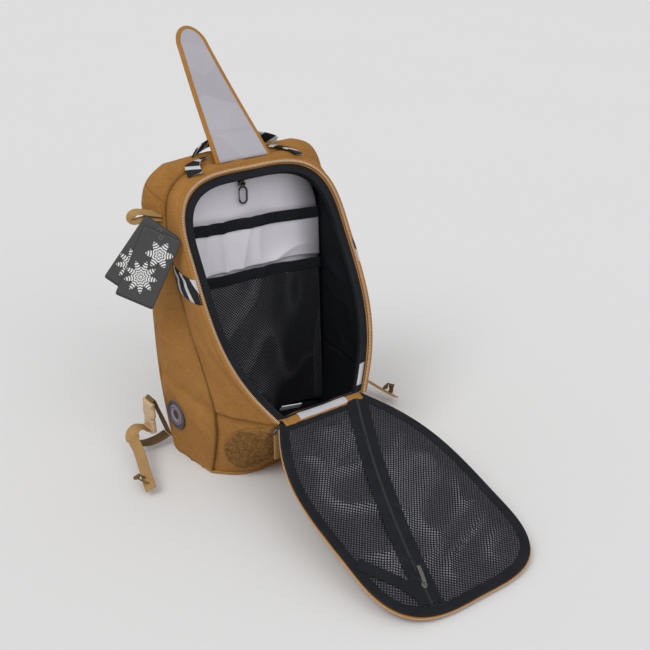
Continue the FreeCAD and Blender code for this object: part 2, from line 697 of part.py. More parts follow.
def make_lower_straps():
    """Lower strap hardware each side: anchor webbing, side-release buckle, strap webbing and its tail."""
    thick, wide = size("webbing_thick"), size("strap_webbing")
    half_wide, half_thick = size("buckle_width") / 2, size("buckle_thick") / 2
    length = size("buckle_length")
    centre = Vector(-186.0, 100.0, 36.0)
    for side, name in ((-1, "left"), (1, "right")):
        pieces = {}
        # socket above, plug below, drawn about the buckle's own axis
        socket = Part.makeBox(2 * half_thick, 2 * half_wide, length * 0.5,
                              Vector(-half_thick, -half_wide, length * 0.42))
        slot = Part.makeBox(2 * half_thick - 4, 2 * half_wide - 6, length * 0.34,
                            Vector(-half_thick + 2, -half_wide + 3, length * 0.42 - 0.01))
        across, along = 2 * half_thick + 2, wide + 1
        corner = Vector(-half_thick - 1, -wide / 2 - 0.5, 0)
        window = Part.makeBox(across, along, 6, corner + Vector(0, 0, length * 0.81))
        pieces["buckle_socket_"] = socket.cut(slot).cut(window)
        prongs = []
        gap = 0.5
        prong_width = 7.0
        for offset in (-half_wide + 3 + gap, -prong_width / 2, half_wide - 3 - gap - prong_width):
            prongs.append(Part.makeBox(2 * half_thick - 4 - 2 * gap, prong_width, length * 0.32,
                                       Vector(-half_thick + 2 + gap, offset, length * 0.4)))
        foot = Part.makeBox(2 * half_thick - 1, 2 * half_wide, length * 0.4,
                            Vector(-half_thick + 0.5, -half_wide, 0))
        for prong in prongs:
            foot = foot.fuse(prong)
        ladder = Part.makeBox(across, along, 5, corner + Vector(0, 0, 4))
        pieces["buckle_plug_"] = foot.cut(ladder).removeSplitter()
        for label, shape in pieces.items():
            shape.translate(centre)
            if side > 0:
                shape = shape.mirror(Vector(), X_AXIS)
            feature(label + name, shape)
        # webbing strips are drawn flat in (x, z) and stand across y
        strips = {
            "anchor_webbing_": [(-152.6, 20), (-160, 40), (-168, 66), (-178, 92), (-183, 98)],
            "strap_webbing_": [(-160, 18), (-180, 13), (-200, 14), (-214, 20)],
        }
        for label, points in strips.items():
            shape = ribbon([(x, z, 0) for x, z in points], wide, thick)
            shape.rotate(Vector(), X_AXIS, 90)
            shape.translate(Vector(0, centre.y + wide / 2, 0))
            if side > 0:
                shape = shape.mirror(Vector(), X_AXIS)
            feature(label + name, shape)
        make_tail(side, name, centre, wide, thick)


def make_tail(side, name, centre, wide, thick):
    """Free end of the strap: a loop out of the ladder lock, then a tail falling forward to the ground."""
    loop = [(-187, 42.5), (-194, 43), (-206, 50), (-217, 52), (-225, 46), (-226, 40)]
    shape = ribbon([(x, z, 0) for x, z in loop], wide, thick)
    shape.rotate(Vector(), X_AXIS, 90)
    shape.translate(Vector(0, centre.y + wide / 2, 0))
    if side > 0:
        shape = shape.mirror(Vector(), X_AXIS)
    feature("strap_loop_" + name, shape)


def make_chest_strap():
    """Sternum strap lying across the shoulder straps, with its own small buckle."""
    depth = size("pad_thick") + size("shoulder_thick") + 3 * size("clearance")
    turned = Placement(Vector(0, size("chest_height"), -depth), Rotation(Vector(0, 1, 0), 180))
    frame = back_frame(0).multiply(turned)
    for side, name in ((-1, "left"), (1, "right")):
        low, high = -side * 20, -side * 74
        polygon_plate("chest_webbing_" + name, frame, [(low, -9), (high, -9), (high, 9), (low, 9)], "1.6")
    socket = [(-19.6, -13), (2, -13), (2, 13), (-19.6, 13)]
    body = polygon_plate("chest_socket", frame, socket, "8")
    slot = new_sketch(body, offset=4)
    draw_polygon(slot, [(-16, -10), (4, -10), (4, 10), (-16, 10)])
    pocket = body.newObject("PartDesign::Pocket", "chest_socket_mouth")
    pocket.Profile = slot
    pocket.Length = 4.6
    pocket.Midplane = True
    body.Tip = pocket
    frame_plug = frame.multiply(Placement(Vector(0, 0, 2.2), Rotation()))
    plug = [(-15, -9.5), (-15, 9.5), (2.6, 9.5), (2.6, 13), (19.6, 13), (19.6, -13), (2.6, -13), (2.6, -9.5)]
    polygon_plate("chest_plug", frame_plug, plug, "3.6")


def make_strap_tail_bodies():
    """The tails as flat tapering strips from the loop's end forward and down to the ground."""
    for side, name in ((-1, "left"), (1, "right")):
        top, tip = Vector(-226, 100, 40), Vector(-256, -32, 13)
        along = (tip - top).normalize()
        across = Vector(0, 0, 1).cross(along).normalize()
        normal = along.cross(across)
        half, thick = 9.0, size("webbing_thick")
        start = top + along * 1.0 - Vector(0, 14, 0)
        loop = [start - across * half, start + across * half, tip + across * half, tip - across * half]
        shape = Part.Face(Part.makePolygon(loop + [loop[0]])).extrude(normal * thick)
        if side > 0:
            shape = shape.mirror(Vector(), X_AXIS)
        feature("strap_tail_" + name, shape)


make_shell()
make_opening()
make_lid()
make_lid_pocket_zip()
make_main_sliders()
make_inside()
make_key_clip()
make_port()
make_patch()
make_lash_loops()
make_tongue()
make_handle()
make_tags()
make_carrying_side()
make_lower_straps()
make_strap_tail_bodies()
make_chest_strap()
doc.recompute()

problems = []
for item in doc.Objects:
    if "Invalid" in item.State or "Error" in item.State:
        problems.append(item.Name + " " + ",".join(item.State))
for item in parts:
    if item.Shape.isNull() or not item.Shape.isValid():
        problems.append(item.Label + " has no valid shape")
if problems:
    raise RuntimeError("; ".join(problems))
os.makedirs("parts", exist_ok=True)
for item in parts:
    item.Shape.exportStep("parts/%s.step" % item.Label)
print("wrote", len(parts), "sub-parts")
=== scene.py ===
import json
import math

import bmesh
import bpy
import numpy as np
from bpy.props import FloatProperty, FloatVectorProperty, IntProperty, PointerProperty
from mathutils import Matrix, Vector


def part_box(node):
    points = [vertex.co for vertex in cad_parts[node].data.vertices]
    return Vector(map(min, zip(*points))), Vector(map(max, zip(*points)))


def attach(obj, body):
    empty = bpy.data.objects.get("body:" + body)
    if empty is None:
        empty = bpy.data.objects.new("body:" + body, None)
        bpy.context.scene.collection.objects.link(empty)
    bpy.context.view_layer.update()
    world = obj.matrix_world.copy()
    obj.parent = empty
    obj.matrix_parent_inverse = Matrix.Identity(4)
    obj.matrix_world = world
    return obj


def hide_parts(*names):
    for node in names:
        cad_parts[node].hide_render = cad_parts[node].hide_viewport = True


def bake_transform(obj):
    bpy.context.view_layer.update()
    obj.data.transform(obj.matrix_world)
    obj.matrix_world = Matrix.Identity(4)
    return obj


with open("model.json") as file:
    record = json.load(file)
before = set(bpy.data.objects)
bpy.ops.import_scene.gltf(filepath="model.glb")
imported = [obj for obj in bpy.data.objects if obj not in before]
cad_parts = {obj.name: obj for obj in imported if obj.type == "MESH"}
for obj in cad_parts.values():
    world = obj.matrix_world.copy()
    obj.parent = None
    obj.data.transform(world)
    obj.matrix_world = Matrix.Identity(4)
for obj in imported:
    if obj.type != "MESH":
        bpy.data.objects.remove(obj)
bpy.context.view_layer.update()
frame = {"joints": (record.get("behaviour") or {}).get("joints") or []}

bl_info = {
    "name": "Clamshell day pack",
    "version": (1, 0, 0),
    "blender": (4, 5, 0),
    "location": "View3D > Sidebar > Day pack",
    "description": "Builds the sewn and moulded pieces of a clamshell day pack around its frame",
    "category": "Object",
}

JOINTS = {j["name"]: j for j in frame["joints"]}
HINGE = np.array(JOINTS["lid_hinge"]["pos_m"])
TONGUE_PIVOT = np.array(JOINTS["tongue_fold"]["pos_m"])
PACK_TOP = 0.494
HINGE_UP = float(HINGE[2])
OPENING_TILT = math.radians(29.0)
LID_SLOPE = math.radians(17.7)
TONGUE_LEAN = math.radians(43.0)
OPENING_LENGTH = 0.400
BACK_FOOT = 0.083
BACK_LEAN = 0.020
RIM_OFFSET = 0.0095
LINING_HALF = 0.1445
POCKET_HALF = 0.1425
MESH_POCKET_FOOT = 0.014
MESH_POCKET_TOP = 0.300
STRAP_LEVELS = (0.168, 0.270, 0.380, 0.462)
POCKET_ZIP_RADIUS = 1.530


# ---------------------------------------------------------------- sizes and colours

class DayPackSizes(bpy.types.PropertyGroup):
    bulge: FloatProperty(name="Panel fullness", default=0.005, unit="LENGTH",
                         description="How far the middle of a fabric panel stands proud of its seams")
    crumple: FloatProperty(name="Crumple", default=0.0023, unit="LENGTH",
                           description="Height of the soft folds in the shell fabric")
    tooth_pitch: FloatProperty(name="Zip pitch", default=0.0024, unit="LENGTH",
                               description="Distance from one coil of the main zip to the next")
    lid_net_pitch: FloatProperty(name="Lid net pitch", default=0.0040, unit="LENGTH",
                                 description="Distance between holes of the net inside the lid")
    pocket_net_pitch: FloatProperty(name="Pocket net pitch", default=0.0036, unit="LENGTH",
                                    description="Distance between holes of the big pocket's net")
    stitch: FloatProperty(name="Stitch length", default=0.0030, unit="LENGTH",
                          description="Length of one stitch of the top stitching")
    pad_frames: IntProperty(name="Padding frames", default=20,
                            description="Frames over which the padded pieces swell")


class DayPackColours(bpy.types.PropertyGroup):
    shell: FloatVectorProperty(name="Shell fabric", subtype="COLOR", size=3, default=(0.325, 0.150, 0.034),
                               min=0, max=1, description="Coyote tan of the woven shell")
    lining: FloatVectorProperty(name="Lining", subtype="COLOR", size=3, default=(0.42, 0.405, 0.445),
                                min=0, max=1, description="Pale grey of the lining")
    black: FloatVectorProperty(name="Black trim", subtype="COLOR", size=3, default=(0.012, 0.013, 0.016),
                               min=0, max=1, description="Black of bindings, tapes and nets")
    plastic: FloatVectorProperty(name="Buckle plastic", subtype="COLOR", size=3, default=(0.48, 0.33, 0.19),
                                 min=0, max=1, description="Sand colour of the moulded buckles")
    webbing: FloatVectorProperty(name="Strap webbing", subtype="COLOR", size=3, default=(0.36, 0.215, 0.085),
                                 min=0, max=1, description="Tan of the plain webbing")
    floor: FloatVectorProperty(name="Floor", subtype="COLOR", size=3, default=(0.722, 0.722, 0.722),
                               min=0, max=1, description="Pale floor")


# ---------------------------------------------------------------- curves, frames and noise

def turn_x(angle):
    """Turn about x by an angle."""
    c, s = math.cos(angle), math.sin(angle)
    return np.array([[1, 0, 0], [0, c, -s], [0, s, c]])


def turn_z(angle):
    """Turn about z by an angle."""
    c, s = math.cos(angle), math.sin(angle)
    return np.array([[c, -s, 0], [s, c, 0], [0, 0, 1]])


OPENING = turn_x(math.pi / 2 - OPENING_TILT)
LID = turn_x(math.pi + LID_SLOPE)
TONGUE = turn_x(math.pi / 2 - TONGUE_LEAN)


def placed(points, turn, origin):
    """Points of a local frame in the object's frame: each is turned, then moved to the origin."""
    return np.asarray(points, float) @ turn.T + np.asarray(origin, float)


def run_length(path):
    """Distance along a path at each of its points."""
    return np.concatenate([[0], np.cumsum(np.linalg.norm(np.diff(path, axis=0), axis=1))])


def signed_power(values, power):
    """Sign of the values times their size to a power: a superellipse from a sine or a cosine."""
    return np.sign(values) * np.abs(values) ** power


def circle(count):
    """Equally spaced angles of a full turn, the last one left out."""
    return np.arange(count) * 2 * math.pi / count


def box(name):
    """Low and high corner of a CAD node's box."""
    return (np.array(c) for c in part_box(name))


def smooth_curve(points, count, first=0, last=None):
    """Natural cubic spline through all the points, by chord length, sampled at equal steps of
    chord from control point number first to number last."""
    p = np.asarray(points, float)
    last = len(p) - 1 if last is None else last % len(p)
    gap = np.linalg.norm(np.diff(p, axis=0), axis=1)
    t = run_length(p)
    n = len(p)
    matrix, right = np.eye(n), np.zeros_like(p)
    i = np.arange(1, n - 1)
    matrix[i, i - 1], matrix[i, i], matrix[i, i + 1] = gap[:-1], 2 * (gap[:-1] + gap[1:]), gap[1:]
    right[1:-1] = 6 * ((p[2:] - p[1:-1]) / gap[1:, None] - (p[1:-1] - p[:-2]) / gap[:-1, None])
    m = np.linalg.solve(matrix, right)
    s = np.linspace(t[first], t[last], count)
    k = np.clip(np.searchsorted(t, s, side="right") - 1, 0, n - 2)
    h, a, b = gap[k][:, None], (t[k + 1] - s)[:, None], (s - t[k])[:, None]
    return ((m[k] * a ** 3 + m[k + 1] * b ** 3) / (6 * h)
            + (p[k] / h - m[k] * h / 6) * a + (p[k + 1] / h - m[k + 1] * h / 6) * b)


def even_steps(path, pitch, up=(0.0, 0.0, 1.0)):
    """The path resampled at equal steps of about one pitch, with its unit tangents and its up."""
    t = run_length(path)
    count = max(2, int(round(t[-1] / pitch)) + 1)
    s = np.linspace(0, t[-1], count)
    points = np.stack([np.interp(s, t, path[:, i]) for i in range(3)], 1)
    up = np.broadcast_to(np.asarray(up, float), path.shape)
    up = np.stack([np.interp(s, t, up[:, i]) for i in range(3)], 1)
    return points, unit(np.gradient(points, axis=0)), unit(up)


def unit(v):
    """Vectors brought to length one."""
    return v / np.maximum(np.linalg.norm(v, axis=-1, keepdims=True), 1e-12)


def corner(run, drop, power, count):
    """Superellipse corner from (run, 0) to (0, drop)."""
    a = np.linspace(0, math.pi / 2, count)
    return np.stack([run * np.cos(a) ** (2 / power), drop * np.abs(np.sin(a)) ** (2 / power)], 1)


def opening_outline(offset, count=241, low=0.0):
    """Outline of the opening, grown by an offset: sides that widen from the hinge as
    half - (half - hinge) * (1 - up / 200 mm) ** 2.2, then superellipse corners of power 3.1."""
    half, hinge, radius = 0.144 + offset, 0.081 + offset, 0.124 + offset
    straight = OPENING_LENGTH + offset - radius
    up = low + np.array([0.0, 0.2, 0.45, 0.7]) * (straight - low)
    narrow = np.maximum(0, 1 - up / (0.5 * OPENING_LENGTH)) ** 2.2
    side = np.stack([half - (half - hinge) * narrow, up], 1)
    arc = corner(radius, radius, 3.1, 7)[:-1] + [half - radius, straight]
    right = np.concatenate([side, arc, [[0, OPENING_LENGTH + offset]]])
    left = right[-2::-1] * [-1, 1]
    loop = np.concatenate([right, left])
    return smooth_curve(np.column_stack([loop, np.zeros(len(loop))]), count)


def rim(offset, lift=0.0, count=241, low=0.0, turn=None):
    """The opening outline at an offset and a height above its plane, on the pack or on the lid."""
    flat = opening_outline(offset, count, low)
    flat[:, 2] = lift
    return placed(flat, OPENING if turn is None else turn, HINGE)


def back_y(z):
    """Depth of the back's plane at a height."""
    return BACK_FOOT + BACK_LEAN * np.asarray(z) / PACK_TOP


def seam_y(z):
    """Depth of the seam between gusset and side: forward up to the hinge, then back to the top."""
    z = np.asarray(z, float)
    low = -0.028 - 0.029 * z / 0.132
    middle = -0.057 + (z - 0.132) * 0.088 / 0.183
    high = 0.031 + (z - 0.315) * 0.050 / 0.179
    return np.where(z < 0.132, low, np.where(z < 0.315, middle, high))


def arch_points(base_half, half, top, run, drop, power, depth):
    """Control points of an arch from the base on the right, over the top, to the base on the left."""
    shoulder = top - drop
    side = np.array([[base_half, 0.0], [half - 0.002, 0.132], [half, 0.132 + 0.45 * (shoulder - 0.132)],
                     [half, shoulder]])
    arc = corner(run, drop, power, 6)[1:] + [half - run, shoulder]
    right = np.concatenate([side, arc])
    loop = np.concatenate([right, right[-2::-1] * [-1, 1]]) if abs(right[-1, 0]) < 1e-9 else \
        np.concatenate([right, right[::-1] * [-1, 1]])
    return np.column_stack([loop[:, 0], depth(loop[:, 1]), loop[:, 1]])


def seam_arch(inset=0.0):
    """Arch of the seam between gusset and sides, drawn in by an inset."""
    return arch_points(0.142 - inset, 0.150 - inset, PACK_TOP - 0.004 - inset, 0.105, 0.105, 2.9, seam_y)


def back_arch(inset=0.0, forward=0.0):
    """Arch of the back's border, which stands 4 mm wider and 10 mm further back above the foot."""
    points = arch_points(0.150 - inset, 0.158 - inset, PACK_TOP - inset, 0.086, 0.070, 3.0, back_y)
    border = ease(points[:, 2] / 0.07)
    points[:, 0] += np.sign(points[:, 0]) * 0.004 * border
    points[:, 1] += 0.010 * border - forward
    return points


def waves(points, length, seed, count=12):
    """Soft random swell: the sum of plane waves of seeded directions and phases near one length."""
    rng = np.random.default_rng(seed)
    ways = unit(rng.normal(size=(count, 3)))
    ways = ways * (2 * math.pi / (length * rng.uniform(0.7, 1.6, count)))[:, None]
    return np.cos(points @ ways.T + rng.uniform(0, 2 * math.pi, count)).sum(-1) / math.sqrt(count)


def folds(points, length, seed):
    """Fabric folds: sharp-crested ridges, one minus the size of a slow swell, bent by a slower one."""
    bend = np.stack([waves(points, length * 2.5, seed + k) for k in (1, 2, 3)], -1)
    return 1 - 2 * np.tanh(np.abs(waves(points + bend * length * 0.18, length, seed)) * 1.3)


def crease(points, start, end, width, depth):
    """A pressed crease: a ditch of Gaussian section along the straight line from start to end."""
    a, b = np.array(start, float), np.array(end, float)
    way = b - a
    share = np.clip(((points - a) @ way) / (way @ way), 0, 1)
    far = np.linalg.norm(points - (a + share[..., None] * way), axis=-1)
    return -depth * np.exp(-(far / width) ** 2)


def grid_normals(grid, away_from):
    """Unit normals of a grid, all pointing away from a point."""
    n = unit(np.cross(np.gradient(grid, axis=0), np.gradient(grid, axis=1)))
    out = grid - np.asarray(away_from, float)
    return n * np.where((n * out).sum(-1, keepdims=True) < 0, -1, 1)


def ease(x):
    """Smooth step: three x squared minus two x cubed, held between 0 and 1."""
    x = np.clip(x, 0, 1)
    return x * x * (3 - 2 * x)


def ruled(first, second, count):
    """Rows of a ruled surface between two curves of the same number of points."""
    v = np.linspace(0, 1, count)[None, :, None]
    return first[:, None] * (1 - v) + second[:, None] * v


# ---------------------------------------------------------------- meshes

def set_map(mesh, uv):
    """Gives a mesh the map UVMap from one pair of numbers for each of its points."""
    layer = mesh.uv_layers.new(name="UVMap")
    corners = np.zeros(len(mesh.loops), np.int32)
    mesh.loops.foreach_get("vertex_index", corners)
    layer.data.foreach_set("uv", np.asarray(uv, np.float32).reshape(-1, 2)[corners].ravel())


def make_object(name, points, faces, uv=None, wear=None):
    mesh = bpy.data.meshes.new(name)
    mesh.from_pydata(np.asarray(points, float).reshape(-1, 3).tolist(), [], faces)
    mesh.polygons.foreach_set("use_smooth", np.ones(len(mesh.polygons), bool))
    if uv is not None:
        set_map(mesh, uv)
    # Per-point value that materials add to their tone: painted shade on cloth pieces, edge wear on moulded
    # blocks.
    shade_and_wear = mesh.attributes.new("wear", "FLOAT", "POINT")
    if wear is None:
        wear = np.zeros(len(mesh.vertices))
    shade_and_wear.data.foreach_set("value", np.asarray(wear, np.float32).ravel())
    made = bpy.data.objects.new(name, mesh)
    bpy.context.scene.collection.objects.link(made)
    return made


def grid_faces(rows, columns, wrap=False):
    index = np.arange(rows * columns).reshape(rows, columns)
    if wrap:
        index = np.concatenate([index, index[:, :1]], 1)
    a, b, c, d = index[:-1, :-1], index[1:, :-1], index[1:, 1:], index[:-1, 1:]
    return np.stack([a, b, c, d], -1).reshape(-1, 4).tolist()


def tube_faces(rows, columns):
    """Faces of a tube whose two ends are capped by its first and last ring."""
    caps = [list(range(columns))[::-1], list(range((rows - 1) * columns, rows * columns))]
    return grid_faces(rows, columns, wrap=True) + caps


def ring_faces(rows, columns):
    """Faces of a tube whose last ring joins its first."""
    first, last = np.arange(columns), np.arange(columns) + (rows - 1) * columns
    join = np.stack([last, first, np.roll(first, -1), np.roll(last, -1)], -1).tolist()
    return grid_faces(rows, columns, wrap=True) + join


def cloth_uv(grid):
    """Metres of cloth along the rows and along the columns of a grid."""
    along = np.linalg.norm(np.diff(grid, axis=0), axis=2).mean(1)
    across = np.linalg.norm(np.diff(grid, axis=1), axis=2)
    u = np.concatenate([[0], np.cumsum(along)])
    v = np.concatenate([np.zeros((len(grid), 1)), np.cumsum(across, 1)], 1)
    v = v - v.mean(1, keepdims=True)
    return np.stack([np.broadcast_to(u[:, None], v.shape), v], -1)


def merged(made, distance=1e-5, closed=True):
    """Doubles merged and, on a closed mesh, normals made to point outwards."""
    mesh = bmesh.new()
    mesh.from_mesh(made.data)
    bmesh.ops.remove_doubles(mesh, verts=mesh.verts, dist=distance)
    if closed:
        bmesh.ops.recalc_face_normals(mesh, faces=mesh.faces)
    mesh.to_mesh(made.data)
    mesh.free()
    return made


def thickened(made, thickness):
    """Solidify that grows a surface equally to both of its sides."""
    solid = made.modifiers.new("thickness", "SOLIDIFY")
    solid.thickness = thickness
    solid.offset = 0
    return made


def sheet_piece(name, grid, thickness, wear=None):
    """A cloth panel: a surface over a grid of points, thickened by Solidify to both of its sides."""
    made = make_object(name, grid, grid_faces(*grid.shape[:2]), cloth_uv(grid), wear)
    return thickened(merged(made, 2e-5, closed=False), thickness)


def swept(name, path, profile, up, closed=False):
    """A closed profile carried along a path: its first number goes sideways, across the path
    and the up direction, its second along up.  Open ends are capped by the profile."""
    path = np.asarray(path, float)
    tangent = unit(np.gradient(path, axis=0))
    if closed:
        tangent = unit(np.roll(path, -1, 0) - np.roll(path, 1, 0))
    up = np.broadcast_to(np.asarray(up, float), path.shape)
    side = unit(np.cross(tangent, up))
    normal = unit(np.cross(side, tangent))
    profile = np.asarray(profile, float)
    grid = (path[:, None] + side[:, None] * profile[None, :, :1] + normal[:, None] * profile[None, :, 1:])
    rows, columns = grid.shape[:2]
    around = run_length(np.concatenate([profile, profile[:1]]))[:-1]
    uv = np.stack(np.broadcast_arrays(run_length(path)[:, None], around[None]), -1)
    faces = ring_faces(rows, columns) if closed else tube_faces(rows, columns)
    return merged(make_object(name, grid, faces, uv), 1e-7)


def band_profile(width, thick, bow=0.0, count=9):
    """Flat webbing section with rounded edges, bowed by a parabola."""
    x = np.linspace(-0.5, 0.5, count) * (width - thick)
    rise = bow * (1 - (2 * x / width) ** 2)
    a = np.linspace(math.pi / 2, -math.pi / 2, 5)[1:-1]
    right = np.stack([width / 2 - thick / 2 + np.cos(a) * thick / 2, np.sin(a) * thick / 2], 1)
    top = np.stack([x, rise + thick / 2], 1)
    return np.concatenate([top, right, np.stack([x, rise - thick / 2], 1)[::-1], -right])


def round_profile(radius, count=10, flat=1.0):
    a = circle(count)
    return np.stack([np.cos(a) * radius, np.sin(a) * radius * flat], 1)


def repeated(name, points, faces, centres, axes):
    """One small shape set at many places: each copy is the shape turned by its own three axes."""
    points, centres, axes = (np.asarray(x, float) for x in (points, centres, axes))
    placed_points = centres[:, None] + np.einsum("kj,njc->nkc", points, axes)
    shift = (np.arange(len(centres)) * len(points))
    all_faces = [[i + int(s) for i in face] for s in shift for face in faces] if len(faces[0]) != 4 else \
        (np.asarray(faces)[None] + shift[:, None, None]).reshape(-1, 4).tolist()
    uv = np.broadcast_to(points[None, :, :2], (len(centres), len(points), 2))
    return make_object(name, placed_points, all_faces, uv)


def bead(length, width, height, rings=4, sides=6):
    """A low-count capsule along x: rings whose radius follows a superellipse, closed to near points."""
    t = np.linspace(-1, 1, rings + 2)
    radius = np.maximum(1 - np.abs(t) ** 2.6, 0.02) ** (1 / 2.6)
    a = circle(sides)
    x = np.broadcast_to((t * length / 2)[:, None], (rings + 2, sides))
    y = radius[:, None] * np.cos(a) * width / 2
    z = radius[:, None] * np.sin(a) * height / 2
    faces = grid_faces(rings + 2, sides, wrap=True)
    half = sides // 2
    last = (rings + 1) * sides
    for ring in (0, last):
        for k in range(half - 1):
            quad = [ring + k, ring + k + 1, ring + sides - 2 - k, ring + sides - 1 - k]
            faces.append(quad if ring == 0 else quad[::-1])
    return np.stack([x, y, z], -1).reshape(-1, 3), faces


def axes_along(tangent, up):
    """Right-handed axes for repeated shapes: x along the path, z as near to up as it can be."""
    up = np.broadcast_to(np.asarray(up, float), tangent.shape)
    y = unit(np.cross(up, tangent))
    z = unit(np.cross(tangent, y))
    return np.stack([tangent, y, z], 1)


def stitches(name, path, up, length, gap=1.35, width=0.0008):
    """Top stitching: small thread beads along a path."""
    centres, tangent, up = even_steps(np.asarray(path, float), length * gap, up)
    points, faces = bead(length, width, width * 0.9, rings=2, sides=6)
    return merged(repeated(name, points, faces, centres, axes_along(tangent, up)), 1e-8)


def zip_coil(name, path, up, pitch, width, height):
    """A zip's coil: flat beads laid across the path, one for each turn."""
    centres, tangent, up = even_steps(np.asarray(path, float), pitch, up)
    across = unit(np.cross(up, tangent))
    points, faces = bead(width, pitch * 0.74, height, rings=3, sides=6)
    return merged(repeated(name, points, faces, centres, axes_along(across, up)), 1e-8)


def lathe(name, profile, turn, origin, count=64):
    """A closed profile of (radius, height) turned about the local z axis."""
    a = circle(count)
    r, h = np.asarray(profile, float).T
    x, y = np.cos(a)[:, None] * r, np.sin(a)[:, None] * r
    grid = placed(np.stack([x, y, np.broadcast_to(h, x.shape)], -1), turn, origin)
    uv = np.stack(np.broadcast_arrays(a[:, None] * 0.02, h[None]), -1)
    return merged(make_object(name, grid, ring_faces(*grid.shape[:2]), uv), 1e-7)


def net(name, turn, origin, low, high, pitch, inside, height, share=0.22, angle=math.pi / 4, thick=0.00035):
    """A net: square cells turned by an angle, each four strips round a hole, over a height function.
    The cells whose centre is inside the outline stay."""
    reach = np.hypot(*(np.array(high) - low)) / 2
    count = int(2 * reach / pitch) + 2
    i, j = np.meshgrid(np.arange(count + 1), np.arange(count + 1), indexing="ij")
    centre = (np.array(low) + high) / 2
    c, s = math.cos(angle), math.sin(angle)

    def spot(a, b):
        a, b = (a - count / 2) * pitch, (b - count / 2) * pitch
        return np.stack([centre[0] + c * a - s * b, centre[1] + s * a + c * b], -1)

    corners = spot(i, j).reshape(-1, 2)
    ci, cj = i[:-1, :-1], j[:-1, :-1]
    keep = inside(spot(ci + 0.5, cj + 0.5))
    holes = np.stack([spot(ci + a, cj + b) for a, b in ((share, share), (1 - share, share),
                      (1 - share, 1 - share), (share, 1 - share))], 2)
    base = (ci * (count + 1) + cj)
    outer = np.stack([base, base + count + 1, base + count + 2, base + 1], -1)[keep]
    inner = len(corners) + np.arange(keep.sum() * 4).reshape(-1, 4)
    sides = [(k, (k + 1) % 4) for k in range(4)]
    faces = np.concatenate([np.stack([outer[:, a], outer[:, b], inner[:, b], inner[:, a]], -1) for a, b in sides])
    flat = np.concatenate([corners, holes[keep].reshape(-1, 2)])
    used, new = np.unique(faces, return_inverse=True)
    flat, faces = flat[used], new.reshape(faces.shape)
    points = np.column_stack([flat, height(flat)])
    return thickened(make_object(name, placed(points, turn, origin), faces.tolist(), flat), thick)


def finish(made, material, body="pack", nodes=()):
    """Gives a piece its material and its record slot, and lets it ride on a body in place of CAD nodes."""
    made.data.materials.clear()
    made.data.materials.append(material)
    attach(made, body)
    if nodes:
        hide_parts(*nodes)
    return made


# ---------------------------------------------------------------- materials

def node(tree, kind, inputs=None, **settings):
    made = tree.nodes.new(kind)
    for key, value in settings.items():
        setattr(made, key, value)
    for key, value in (inputs or {}).items():
        if isinstance(value, bpy.types.NodeSocket):
            tree.links.new(value, made.inputs[key])
        else:
            made.inputs[key].default_value = value
    return made


def maths(tree, operation, *values):
    made = node(tree, "ShaderNodeMath", operation=operation)
    for i, value in enumerate(values):
        if isinstance(value, bpy.types.NodeSocket):
            tree.links.new(value, made.inputs[i])
        else:
            made.inputs[i].default_value = value
    return made.outputs[0]


def new_material(name, roughness=0.8, gloss=0.5, coat=0.0):
    material = bpy.data.materials.new(name)
    material.use_nodes = True
    shader = material.node_tree.nodes["Principled BSDF"]
    shader.inputs["Roughness"].default_value = roughness
    shader.inputs["Specular IOR Level"].default_value = gloss
    shader.inputs["Coat Weight"].default_value = coat
    return material, material.node_tree, shader


def noise(tree, scale, detail=3.0, stretch=(1, 1, 1)):
    where = node(tree, "ShaderNodeTexCoord").outputs["Object"]
    if stretch != (1, 1, 1):
        where = node(tree, "ShaderNodeMapping", {"Vector": where, "Scale": stretch}).outputs[0]
    return node(tree, "ShaderNodeTexNoise", {"Vector": where, "Scale": scale, "Detail": detail}).outputs[0]


def uv_parts(tree):
    """The piece's own map, and its two coordinates by themselves."""
    uv = node(tree, "ShaderNodeUVMap", uv_map="UVMap").outputs[0]
    apart = node(tree, "ShaderNodeSeparateXYZ", {0: uv})
    return uv, apart.outputs[0], apart.outputs[1]


def ridges(tree, along, pitch):
    """0..1 ridges of one pitch: half of one plus the sine of the distance."""
    sine = maths(tree, "SINE", maths(tree, "MULTIPLY", along, 2 * math.pi / pitch))
    return maths(tree, "MULTIPLY_ADD", sine, 0.5, 0.5)


def plain_weave(tree, pitch):
    """Plain weave: yarns run over and under by turns, one way's ridges where the checker is on."""
    uv, u, v = uv_parts(tree)
    check = node(tree, "ShaderNodeTexChecker", {"Vector": uv, "Scale": 1 / pitch}).outputs["Fac"]
    mix = node(tree, "ShaderNodeMix", {"Factor": check})
    tree.links.new(ridges(tree, u, pitch), mix.inputs[2])
    tree.links.new(ridges(tree, v, pitch), mix.inputs[3])
    return mix.outputs[0]


def coloured(tree, shader, shade, stops):
    """The base colour by a ramp of a shade: the two ends first, then the colours between them."""
    ramp = node(tree, "ShaderNodeValToRGB", {"Fac": shade})
    elements = ramp.color_ramp.elements
    for element, (place, colour) in zip(elements, stops[:2]):
        element.position, element.color = place, (*colour, 1)
    for place, colour in stops[2:]:
        elements.new(place).color = (*colour, 1)
    tree.links.new(ramp.outputs[0], shader.inputs["Base Color"])


def surfaced(tree, shader, shade, rough, height, strength, distance):
    """Roughness that follows a shade between two values, and a bump from a height."""
    span = node(tree, "ShaderNodeMapRange", {"Value": shade, "To Min": rough[0], "To Max": rough[1]})
    tree.links.new(span.outputs[0], shader.inputs["Roughness"])
    bump = node(tree, "ShaderNodeBump", {"Height": height, "Strength": strength, "Distance": distance})
    tree.links.new(bump.outputs[0], shader.inputs["Normal"])


